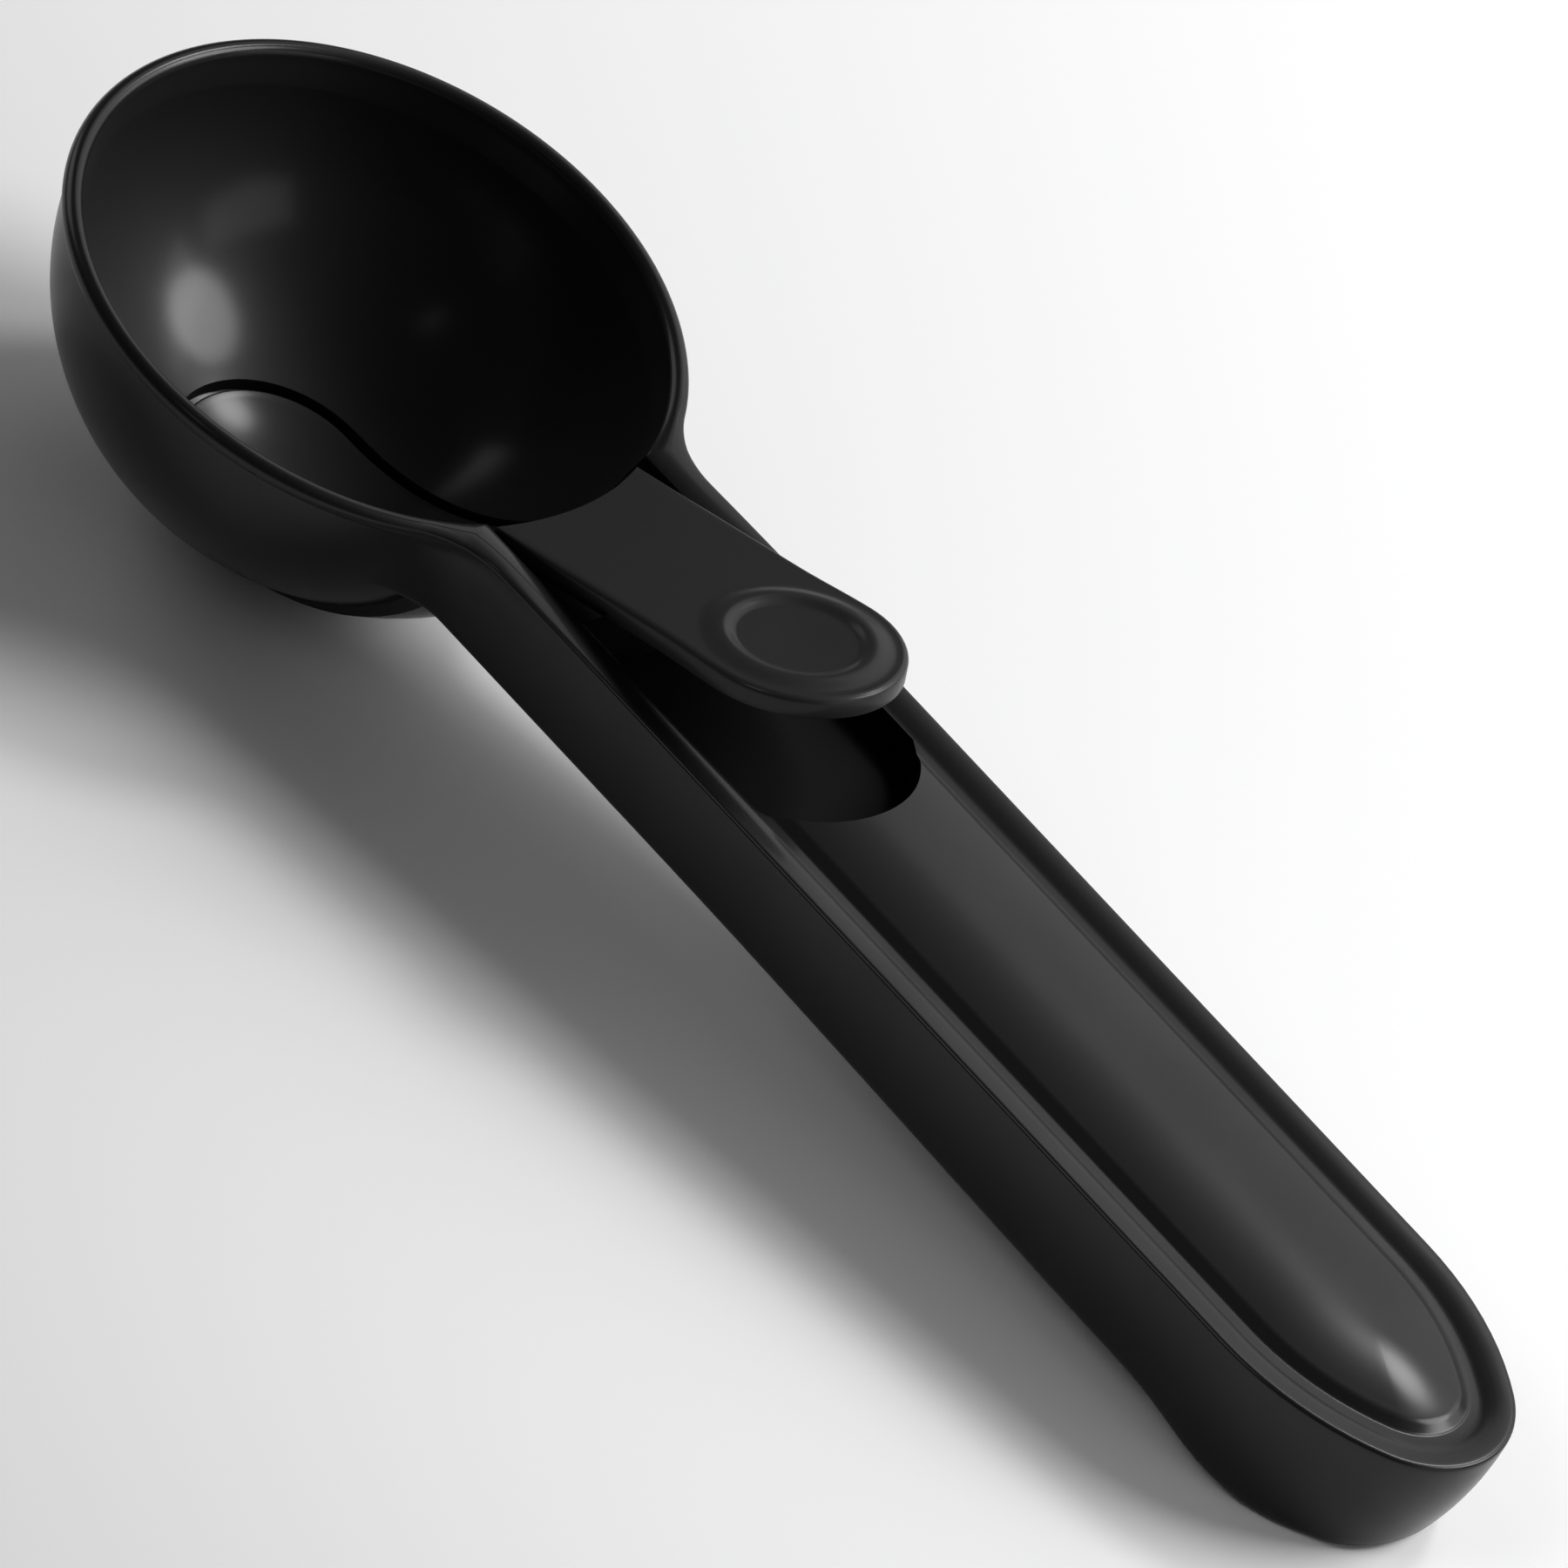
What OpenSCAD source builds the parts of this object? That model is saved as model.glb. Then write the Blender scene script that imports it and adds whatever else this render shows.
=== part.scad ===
// Ice cream scoop with a thumb lever: a one-piece bowl and handle, a lever that ends
// in an ejector plate at the bottom of the bowl, its hinge pin and its return spring.
// Drawn level with the rim, then tipped so that it lies on the bowl and the heel.

/* [Bowl] */
// Radius to the outside of the rounded lip
rim_r = 31.75; // [28:0.25:36]
// Radius of the lip's round section
lip_r = 1; // [0.7:0.1:1.3]
// Depth of the bowl outside, below the middle of the lip
bowl_depth = 28.7; // [25:0.1:32]
// Wall of the bowl at its side
bowl_wall = 1.7; // [1.4:0.1:2.2]
// Floor of the bowl at its lowest point
floor_wall = 2.3; // [2.1:0.1:3]
// Height of the flared band inside the lip
band_h = 3; // [2:0.5:5]
// How far the band flares out over its height
band_flare = 0.7; // [0.3:0.1:1]

/* [Handle] */
// Half of the handle's width outside its two ridges
handle_hw = 14.9; // [13.9:0.1:16.5]
// Radius of the rounded ridges
ridge_r = 2; // [1.6:0.1:2.4]
// Height of the ridges' centre line over the middle of the lip
ridge_z = 0.7; // [0.2:0.1:1.2]
// Distance from the bowl's centre to the handle's tip
tip_x = 158.5; // [145:0.5:185]
// Radius of the round tip
tip_r = 11.4; // [9.5:0.1:12.5]
// Length of the narrowing end
end_len = 22.5; // [19:0.5:28]
// Radius where the bowl's side flows into the handle
neck_fillet = 9.6; // [7:0.2:13]
// Depth of the side walls near the bowl, below the middle of the lip
side_depth = 9.9; // [9.7:0.1:12]
// Extra depth of the side walls before the heel
side_taper = 1.2; // [0:0.1:2]
// How much lower the heel reaches
heel_drop = 2.3; // [1:0.1:3]
// How far the side walls lean in at their lower edge
side_draft = 0.5; // [0:0.1:0.8]
// How far the end wall leans in at its lower edge
end_draft = 2.4; // [1:0.1:3]
// Width of the sloping margin between the ridge and the panel
margin_w = 2.1; // [1.5:0.1:3]
// Rise of the margin from the valley to the panel's shoulder
margin_rise = 0.45; // [0.2:0.05:0.8]
// Rise of the crowned panel over its shoulder
crown_rise = 1; // [0.4:0.1:1.6]
// Wall of the hollow underside
handle_wall = 3; // [2.4:0.1:3.4]
// Thickness of the skin over the hollow, below the valley
roof_wall = 2.2; // [1.8:0.1:3]
// Thickness of the ribs in the underside
rib_w = 1.6; // [1.2:0.1:2.2]
// Distance between cross ribs
rib_step = 15; // [12:1:18]
// Distance from the lower edge up to the ribs
rib_set_back = 2; // [1:0.25:3]

/* [Well under the lever] */
// Half of the slot's width
slot_hw = 11.2; // [11.1:0.1:11.6]
// Length of the well from the lip to where its round front is centred
well_len = 28.25; // [25:0.25:30]
// Radius of the well's round front
well_r = 12.8; // [12.2:0.1:14]
// Depth of the well, below the middle of the lip
well_depth = 3; // [2.6:0.1:3.6]
// Thickness of the well's floor
well_wall = 2; // [1.6:0.1:2.4]

/* [Lever] */
// Slope of the thumb pad at rest, in degrees
pad_slope = 17.8; // [16:0.2:19]
// Thickness of the thumb pad
pad_t = 2.2; // [1.8:0.1:2.4]
// Half of the pad's width
pad_hw = 10.2; // [9.6:0.1:10.4]
// Radius of the pad's round end
pad_end_r = 10.6; // [10.4:0.1:10.7]
// How far past the lip the middle of the pad's round end lies
pad_reach = 24.15; // [21:0.25:25.5]
// Height of the pad's top where it meets the bowl
pad_root_z = -0.35; // [-0.6:0.05:-0.1]
// Radius of the raised thumb ring
ring_r = 7.2; // [6:0.1:8]
// Radius of the ring's round section
ring_bead = 0.9; // [0.7:0.1:1.1]
// How far the ring stands out of the pad
ring_rise = 0.4; // [0.2:0.05:0.6]
// Half of the ejector arm's width
arm_hw = 10; // [9.4:0.1:10.2]
// Thickness of the arm at the back of the bowl
arm_t = 1.8; // [1.4:0.1:2]
// Thickness of the ejector plate at the bottom of the bowl
plate_t = 1; // [0.9:0.05:1.1]
// Gap at the sides of the arm and round the plate
plate_gap = 0.9; // [0.6:0.1:1]
// Gap behind the arm
arm_back_gap = 0.45; // [0.3:0.05:0.6]
// Gap under the ejector plate
plate_under_gap = 0.3; // [0.2:0.05:0.35]

/* [Hinge] */
// Distance from the lip to the pin
pivot_gap = 3.75; // [3.45:0.05:4.45]
// Depth of the pin, below the middle of the lip
pivot_depth = 5.5; // [5.2:0.1:5.6]
// Radius of the pin
pin_r = 1.5; // [1.2:0.05:1.6]
// Play of the pin in the side walls, on the radius
pin_play = 0.02; // [0.01:0.01:0.04]
// Play of the lever on the pin, on the radius
hub_play = 0.06; // [0.03:0.01:0.09]
// Radius of the lever's hubs
hub_r = 2.8; // [2.6:0.1:3]
// Gap between a hub and the side of the slot
hub_side_gap = 0.3; // [0.2:0.05:0.5]
// Length of a hub
hub_len = 5.7; // [4.5:0.1:6]
// Thickness left over the pin's blind end
pin_skin = 1.4; // [1:0.1:1.8]

/* [Spring] */
// Radius of the spring's wire
wire_r = 0.4; // [0.3:0.05:0.45]
// Radius of the coil to the middle of the wire
coil_r = 2.3; // [2.2:0.05:2.4]
// Distance between turns
coil_pitch = 1.25; // [1.15:0.05:1.35]
// Whole turns of the coil
coil_turns = 4; // [3:1:5]

/* [Hidden] */
$fn = 96;

eps = 0.01;             // length that counts as nothing
over = 5;               // overrun of cuts
body_black = [0.05, 0.05, 0.055];
steel_grey = [0.7, 0.7, 0.72];

// What lies past the lip is placed from the lip
well_x = rim_r + well_len;
pad_end_x = rim_r + pad_reach;
pivot_x = rim_r + pivot_gap;

// The bowl's outer and inner faces are half ellipses turned about the middle
lip_mid_r = rim_r - lip_r;
lip_under_step = 0.85;  // how far the lip stands out past the side
outer_a = rim_r - lip_under_step;
inner_a = outer_a - bowl_wall;
inner_c = bowl_depth - floor_wall;
arc_steps = 28;
lip_steps = 10;
lip_start = -45;        // angles between which the lip is round
lip_end = 180;
inner_top_r = inner_a * sqrt(1 - pow(band_h / inner_c, 2));

// The slimmest back wall behind the arm
back_wall = 1.05;
recess_a = inner_a + arm_t + arm_back_gap;
recess_c = inner_c + plate_t + plate_under_gap;
housing_a = recess_a + back_wall;
housing_under = 0.1;    // how much the housing stays inside the bowl's floor
housing_c = bowl_depth - housing_under;
housing_margin = 2;
sill_depth = 4;         // top of the wall behind the arm, below the middle of the lip
bay_floor = 1.4;        // thickness of the floor under the hinge
bay_depth = side_depth - bay_floor;
bay_len = 9.5;          // from the pin to the front of the hinge bay

// The handle's outline: straight sides, a slow curve and a round tip
bend_x = tip_x - end_len;
tip_cx = tip_x - tip_r;
bend_r = (pow(tip_cx - bend_x, 2) + pow(handle_hw, 2) - pow(tip_r, 2)) / (2 * (handle_hw - tip_r));
bend_angle = atan2(tip_cx - bend_x, bend_r - handle_hw);

// How the scoop lies: tangent under the bowl and through the heel's foot
foot_back = 8.5;        // from the tip back to the foot
foot_raise = 0.2;       // depth of the flat under the heel
end_back = 2;           // how much thicker the wall at the tip is than the side walls
foot_x = tip_x - foot_back;
foot_z = -(side_depth + side_taper + heel_drop - foot_raise);
rest_tan = (foot_x * foot_z + sqrt(pow(foot_x * foot_z, 2)
    + (pow(foot_x, 2) - pow(outer_a, 2)) * (pow(bowl_depth, 2) - pow(foot_z, 2))))
    / (pow(foot_x, 2) - pow(outer_a, 2));
rest_angle = atan(rest_tan);
rest_height = sqrt(pow(outer_a * sin(rest_angle), 2) + pow(bowl_depth * cos(rest_angle), 2));
back_reach = lip_mid_r * cos(rest_angle) + lip_r;
front_reach = (tip_x - ridge_r) * cos(rest_angle) + ridge_z * sin(rest_angle) + ridge_r;
rest_shift = (back_reach - front_reach) / 2;

// Handle loft: where its stations and heights change along the handle
neck_sink = 0.3;        // how deep the neck's fillet starts inside the bowl's side
neck_steps = 6;
side_steps = 9;
bend_steps = 5;
tip_steps = 6;
valley_angle = 167;
ridge_steps = 6;
crown_steps = 3;
rise_len = 19;          // length over which the cheeks rise from the lip to the ridges
cheek_drop = ridge_z + ridge_r - lip_r;
taper_start_share = 0.38;
taper_end_share = 0.85;
heel_start_share = 0.81;
heel_end_share = 0.925;
spine_start_share = 0.45;
wall_lean_share = 0.25;
valley_q = ridge_r * (1 - cos(valley_angle));
valley_z = ridge_z + ridge_r * sin(valley_angle);
shoulder_q = valley_q + margin_w;
shoulder_z = valley_z + margin_rise;

// Lever and hinge places
pad_root_x = sqrt(pow(inner_top_r, 2) - pow(arm_hw, 2)) + band_flare * arm_hw / inner_top_r;
pad_run = (pad_end_x - pad_root_x) / cos(pad_slope);
pad_edge = 0.4;         // bevel along the pad's upper edge
ring_sides = 48;
hub_outer_y = slot_hw - hub_side_gap;
hub_inner_y = hub_outer_y - hub_len;
web_w = 2.4;            // thickness of the webs from the pad down to the hubs
web_reach = 7;          // how far a web runs along the pad past its hub
pin_flush = 0.3;        // how deep the pin's far end sits in its hole
pin_end_near = handle_hw - pin_skin;
pin_end_far = handle_hw - pin_flush;
pin_edge = 0.3;         // bevel at the pin's ends

// Spring: two straight legs and the coil between them
leg_angle = 26;
leg_upper = 15.6;       // length of the leg under the pad
leg_lower = 7.6;        // length of the leg along the bay's floor
wire_sides = 6;
turn_rings = 16;

// Shares that grow smoothly from 0 to 1
function ease(t) = let (u = max(0, min(1, t))) u * u * (3 - 2 * u);
function ramp(x, a, b) = ease((x - a) / (b - a));

// Radius of the bowl's outer face at height z, and of the lip from its lower edge up
function outer_r(z) = z > -lip_r ? rim_r : outer_a * sqrt(1 - pow(z / bowl_depth, 2));

// Height of the handle's lower edge at distance x, before the foot is cut
function lower_z(x) = -(side_depth
    + side_taper * ramp(x, taper_start_share * tip_x, taper_end_share * tip_x)
    + heel_drop * ramp(x, heel_start_share * tip_x, heel_end_share * tip_x));

// Drop of the ridge near the bowl, where the cheeks come down to the lip
function cheek_z(x) = let (x0 = neck_point(0, 0, 0)[0]) -cheek_drop * (1 - ramp(x, x0, x0 + rise_len));

// Half outline on the +Y side: q is the distance inwards, z the height that it is taken at
function neck_centre(z) = let (r = outer_r(z) - neck_sink + neck_fillet)
    [sqrt(pow(r, 2) - pow(handle_hw + neck_fillet, 2)), handle_hw + neck_fillet];
function neck_point(t, q, z) = let (c = neck_centre(z), a0 = 180 + atan2(c[1], c[0]),
    a = a0 + (270 - a0) * t) c + (neck_fillet + q) * [cos(a), sin(a)];
function side_point(t, q, z) = let (x0 = neck_centre(z)[0]) [x0 + (bend_x - x0) * t, handle_hw - q];
function bend_point(t, q) = [bend_x, handle_hw - bend_r]
    + (bend_r - q) * [sin(bend_angle * t), cos(bend_angle * t)];
function tip_point(t, q) = let (a = (90 - bend_angle) * (1 - t))
    [tip_cx, 0] + (tip_r - q) * [cos(a), sin(a)];
function start_point(q, z) = [spine_start_share * rim_r, neck_point(0, q, z)[1]];

// Station number k of the half outline
neck_end = neck_steps + 1;
side_end = neck_end + side_steps;
bend_end = side_end + bend_steps;
tip_end = bend_end + tip_steps;
function edge_point(k, q, z) =
    k == 0 ? start_point(q, z)
    : k <= neck_end ? neck_point((k - 1) / neck_steps, q, z)
    : k <= side_end ? side_point((k - neck_end) / side_steps, q, z)
    : k <= bend_end ? bend_point((k - side_end) / bend_steps, q)
    : tip_point((k - bend_end) / tip_steps, q);

// The spine point that station k looks to, along the handle's middle
function spine_x(k) = k <= side_end ? edge_point(k, 0, 0)[0]
    : k <= bend_end ? bend_x + (tip_cx - bend_x) * (k - side_end) / bend_steps
    : tip_cx;

// How far the wall leans in at its lower edge at station k
function lean(k) = side_draft + (end_draft - side_draft) * ramp(k, side_end, tip_end);

// One station: lower middle, lower edge, wall, ridge, valley, shoulder and crown
function station(k, side) = let (
        x0 = edge_point(k, 0, 0)[0],
        low = lower_z(x0),
        drop = cheek_z(x0),
        top = ridge_z + drop,
        mid = (low + top) / 2,
        foot = edge_point(k, lean(k), low),
        wall = edge_point(k, wall_lean_share * lean(k), mid),
        crest = edge_point(k, shoulder_q, 0),
        sx = spine_x(k))
    concat(
        [[sx, 0, low], [foot[0], side * foot[1], low], [wall[0], side * wall[1], mid]],
        [for (i = [0 : ridge_steps]) let (a = valley_angle * i / ridge_steps,
            p = edge_point(k, ridge_r * (1 - cos(a)), 0)) [p[0], side * p[1], top + ridge_r * sin(a)]],
        [for (i = [0 : crown_steps]) let (t = i / crown_steps, p = crest + t * ([sx, 0] - crest))
            [p[0], side * p[1], shoulder_z + drop + crown_rise * (1 - pow(1 - t, 2))]]);

// The handle's skin: a column of points at each station, round the whole outline
module handle_loft() {
    rows = 3 + ridge_steps + 1 + crown_steps + 1;
    last = 2 * tip_end;
    points = [for (i = [0 : last]) each station(min(i, last - i), i <= tip_end ? -1 : 1)];
    // The middle points are shared by both sides, and by all stations round the tip
    function id(i, j) = (j == 0 || j == rows - 1) ? min(i, last - i, bend_end) * rows + j : i * rows + j;
    quads = [for (i = [0 : last - 1], j = [0 : rows - 2])
        [id(i, j), id(i + 1, j), id(i, j + 1), id(i + 1, j + 1)]];
    sides = [for (c = quads) each [[c[0], c[2], c[1]], [c[2], c[3], c[1]]]];
    start = concat([for (j = [1 : rows - 2]) id(last, j)], [for (j = [rows - 1 : -1 : 0]) id(0, j)]);
    polyhedron(points = points,
        faces = concat([for (f = sides) if (f[0] != f[1] && f[1] != f[2] && f[0] != f[2]) f], [start]),
        convexity = 6);
}

// Points of a quarter ellipse from the lowest point to height z_top
function bowl_arc(a, c, z_top) = let (end = acos(-z_top / c))
    [for (i = [0 : arc_steps]) let (t = end * i / arc_steps) [a * sin(t), -c * cos(t)]];

// Solid of revolution inside a half ellipse, open at the top
module half_ellipsoid(a, c, z_top = 0) {
    rotate_extrude() polygon(concat(bowl_arc(a, c, z_top), [[0, z_top]]));
}

// Bowl filled up to the lip, with the lip's rounded edge
module bowl_blank() {
    lip = [for (i = [0 : lip_steps]) let (t = lip_start + (lip_end - lip_start) * i / lip_steps)
        [lip_mid_r + lip_r * cos(t), lip_r * sin(t)]];
    rotate_extrude() polygon(concat(bowl_arc(outer_a, bowl_depth, -lip_r), lip, [[0, 0]]));
}

// Room inside the bowl, with the flared band and clear above
module bowl_void() {
    top_r = inner_top_r + band_flare;
    rotate_extrude() polygon(concat(bowl_arc(inner_a, inner_c, -band_h),
        [[top_r, 0], [top_r + band_flare, over], [0, over]]));
}

// Strip from a round end at the bottom of the bowl towards the handle
module strip(half_width, reach) {
    circle(r = half_width);
    translate([0, -half_width]) square([reach, 2 * half_width]);
}

// Outline of the handle set in by a distance, from start_x to the tip
module handle_plan(inset, start_x) {
    hw = handle_hw - inset;
    tangent_x = bend_x + (bend_r - inset) * sin(bend_angle);
    translate([start_x, -hw]) square([bend_x - start_x, 2 * hw]);
    intersection() {
        translate([bend_x, handle_hw - bend_r]) circle(r = bend_r - inset);
        translate([bend_x, bend_r - handle_hw]) circle(r = bend_r - inset);
        translate([bend_x - eps, -hw]) square([tangent_x - bend_x + eps, 2 * hw]);
    }
    translate([tip_cx, 0]) circle(r = tip_r - inset);
}

// Well that the thumb pad sinks into, with a front curved like the pad's end
module well() {
    translate([0, 0, -well_depth]) linear_extrude(well_depth + over) intersection() {
        union() {
            translate([0, -slot_hw]) square([well_x, 2 * slot_hw]);
            translate([well_x, 0]) circle(r = well_r);
        }
        translate([0, -slot_hw]) square([well_x + well_r, 2 * slot_hw]);
    }
}

// Deeper bay round the hinge
module hinge_bay() {
    translate([0, -slot_hw, -bay_depth])
        cube([pivot_x + bay_len, 2 * slot_hw, bay_depth + over]);
}

// Pocket that the arm and the ejector plate lie in
module arm_recess() {
    intersection() {
        half_ellipsoid(recess_a, recess_c);
        translate([0, 0, -bowl_depth]) linear_extrude(bowl_depth + over)
            strip(arm_hw + plate_gap, rim_r + over);
    }
}

// Wall behind the arm, which stands proud of the bowl outside
module arm_housing() {
    intersection() {
        half_ellipsoid(housing_a, housing_c);
        translate([0, 0, -bowl_depth]) linear_extrude(bowl_depth - sill_depth)
            strip(slot_hw + housing_margin, rim_r + over);
    }
}

// Hollow underside: one cell field under the well and one under the panel, with ribs
module underside(start_x, end_x, roof_z) {
    field = over + handle_hw;
    difference() {
        translate([0, 0, -field]) linear_extrude(field + roof_z) intersection() {
            translate([-end_back, 0]) handle_plan(handle_wall, start_x);
            translate([start_x, -field]) square([end_x - start_x, 2 * field]);
        }
        translate([start_x - over, -rib_w / 2, -side_depth + rib_set_back])
            cube([end_x - start_x + 2 * over, rib_w, field]);
        for (x = [start_x + rib_step : rib_step : end_x])
            translate([x - rib_w, -field, -side_depth + rib_set_back]) cube([rib_w, 2 * field, field]);
    }
}

// Everything below the table, which trims the heel to a flat foot
module below_table() {
    translate([foot_x, 0, foot_z]) rotate([0, -rest_angle, 0])
        translate([-foot_x / 2, -handle_hw - over, -over - heel_drop])
            cube([foot_x, 2 * (handle_hw + over), over + heel_drop]);
}

// Puts a piece that is drawn level with the rim down on the table
module laid_down() {
    translate([rest_shift, 0, rest_height]) rotate([0, rest_angle, 0]) children();
}

module scoop_body() {
    under_panel = well_x + well_r + well_wall;
    under_well = pivot_x + bay_len + well_wall;
    color(body_black) laid_down() difference() {
        union() {
            difference() {
                union() {
                    bowl_blank();
                    handle_loft();
                }
                well();
                hinge_bay();
            }
            arm_housing();
        }
        bowl_void();
        arm_recess();
        underside(under_well, under_panel - well_wall, -well_depth - well_wall);
        underside(under_panel, tip_x, valley_z - roof_wall);
        below_table();
        translate([pivot_x, -pin_end_near, -pivot_depth]) rotate([-90, 0, 0])
            cylinder(r = pin_r + pin_play, h = pin_end_near + handle_hw + over);
    }
}

// Thumb pad seen in its own plane, with the bowl at its near end
module pad_plan(inset) {
    translate([-pad_root_x, -pad_hw + inset]) square([pad_root_x + pad_run, 2 * (pad_hw - inset)]);
    translate([pad_run, 0]) circle(r = pad_end_r - inset);
}

// Pad, lying in its sloping plane
module pad() {
    translate([pad_root_x, 0, pad_root_z]) rotate([0, -pad_slope, 0]) {
        translate([0, 0, -pad_t]) linear_extrude(pad_t - pad_edge) pad_plan(0);
        translate([0, 0, -pad_edge - eps]) linear_extrude(pad_edge + eps) pad_plan(pad_edge / 2);
        translate([pad_run, 0, ring_rise - ring_bead]) rotate_extrude()
            translate([ring_r, 0]) circle(r = ring_bead, $fn = ring_sides);
    }
}

// One web from the pad down to its hub, seen from the side
module web_side() {
    under = pad_root_z - pad_t / cos(pad_slope) + eps;
    polygon([
        [pivot_x - hub_r, -pivot_depth],
        [pivot_x + hub_r, -pivot_depth],
        [pivot_x + web_reach, under + (pivot_x + web_reach - pad_root_x) * tan(pad_slope)],
        [pivot_x + web_reach, under + pad_t / 2 + (pivot_x + web_reach - pad_root_x) * tan(pad_slope)],
        [pad_root_x + hub_r, under + pad_t / 2 + hub_r * tan(pad_slope)],
        [pad_root_x + hub_r, under + hub_r * tan(pad_slope)]]);
}

module thumb_lever() {
    color(body_black) laid_down() difference() {
        union() {
            pad();
            intersection() {
                half_ellipsoid(inner_a + arm_t, inner_c + plate_t, -pad_t);
                translate([0, 0, -bowl_depth]) linear_extrude(bowl_depth + over)
                    strip(arm_hw, rim_r + over);
            }
            for (side = [-1, 1]) {
                translate([0, side * hub_outer_y, 0]) rotate([90, 0, 0]) {
                    translate([0, 0, side < 0 ? -web_w : 0]) linear_extrude(web_w) web_side();
                    translate([pivot_x, -pivot_depth, side < 0 ? -hub_len : 0])
                        cylinder(r = hub_r, h = hub_len);
                }
            }
        }
        bowl_void();
        translate([pivot_x, -handle_hw, -pivot_depth]) rotate([-90, 0, 0])
            cylinder(r = pin_r + hub_play, h = 2 * handle_hw);
    }
}

module pivot_pin() {
    length = pin_end_near + pin_end_far;
    color(steel_grey) laid_down() translate([pivot_x, -pin_end_near, -pivot_depth]) rotate([-90, 0, 0])
        rotate_extrude() polygon([[0, 0], [pin_r - pin_edge, 0], [pin_r, pin_edge],
            [pin_r, length - pin_edge], [pin_r - pin_edge, length], [0, length]]);
}

// The spring's middle line: lower leg, coil and upper leg
coil_sweep = 360 * coil_turns + 180 - leg_angle;
coil_rings = ceil(turn_rings * coil_sweep / 360);
coil_half = coil_pitch * coil_sweep / 720;
function coil_point(t) = let (a = 270 - coil_sweep * t)
    [coil_r * cos(a), coil_half * (2 * t - 1), coil_r * sin(a)];
upper_dir = [cos(leg_angle), 0, sin(leg_angle)];
wire_path = concat(
    [coil_point(0) + [leg_lower, 0, 0]],
    [for (i = [0 : coil_rings]) coil_point(i / coil_rings)],
    [coil_point(1) + leg_upper * upper_dir]);

// Tube along the wire's path, its rings square to the path in side view
module wire() {
    last = len(wire_path) - 1;
    function along(i) = let (d = wire_path[min(i + 1, last)] - wire_path[max(i - 1, 0)]) d / norm(d);
    points = [for (i = [0 : last]) let (
            d = along(i),
            out = [d[2], 0, -d[0]] / norm([d[2], 0, -d[0]]),
            over_dir = cross(d, out))
        each [for (j = [0 : wire_sides - 1]) let (a = 360 * j / wire_sides)
            wire_path[i] + wire_r * (cos(a) * out + sin(a) * over_dir)]];
    faces = concat(
        [for (i = [0 : last - 1], j = [0 : wire_sides - 1])
            let (a = i * wire_sides + j, b = i * wire_sides + (j + 1) % wire_sides)
            each [[a, a + wire_sides, b], [b, a + wire_sides, b + wire_sides]]],
        [[for (j = [0 : wire_sides - 1]) j], [for (j = [wire_sides - 1 : -1 : 0]) last * wire_sides + j]]);
    polyhedron(points = points, faces = faces, convexity = 10);
}

module return_spring() {
    color(steel_grey) laid_down() translate([pivot_x, 0, -pivot_depth]) wire();
}

scoop_body();
thumb_lever();
pivot_pin();
return_spring();
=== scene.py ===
# Ice cream scoop in glossy black plastic: the bowl and handle, the thumb lever with its
# ejector plate, the hinge pin and the return spring. Lengths are millimetres, drawn level
# with the rim; laidDown() makes them metres as the scoop lies on the table.
import math

import bmesh
import bpy
import numpy as np
from mathutils import Matrix, Vector


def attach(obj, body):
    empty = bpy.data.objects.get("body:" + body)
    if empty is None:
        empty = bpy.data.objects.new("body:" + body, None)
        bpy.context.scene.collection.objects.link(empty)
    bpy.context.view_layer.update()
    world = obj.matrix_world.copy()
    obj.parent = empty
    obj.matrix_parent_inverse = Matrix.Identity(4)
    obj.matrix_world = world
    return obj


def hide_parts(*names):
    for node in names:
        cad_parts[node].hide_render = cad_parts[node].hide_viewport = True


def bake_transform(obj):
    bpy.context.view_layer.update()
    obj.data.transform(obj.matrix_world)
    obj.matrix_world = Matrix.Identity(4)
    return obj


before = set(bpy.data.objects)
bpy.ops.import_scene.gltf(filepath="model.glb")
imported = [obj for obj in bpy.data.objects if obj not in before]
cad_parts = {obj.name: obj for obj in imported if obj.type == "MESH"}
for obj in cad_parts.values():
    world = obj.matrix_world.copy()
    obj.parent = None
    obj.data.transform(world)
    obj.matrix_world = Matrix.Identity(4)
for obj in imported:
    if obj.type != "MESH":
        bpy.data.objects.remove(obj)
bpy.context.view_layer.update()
scene = bpy.context.scene
print("Frame loaded")

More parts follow.
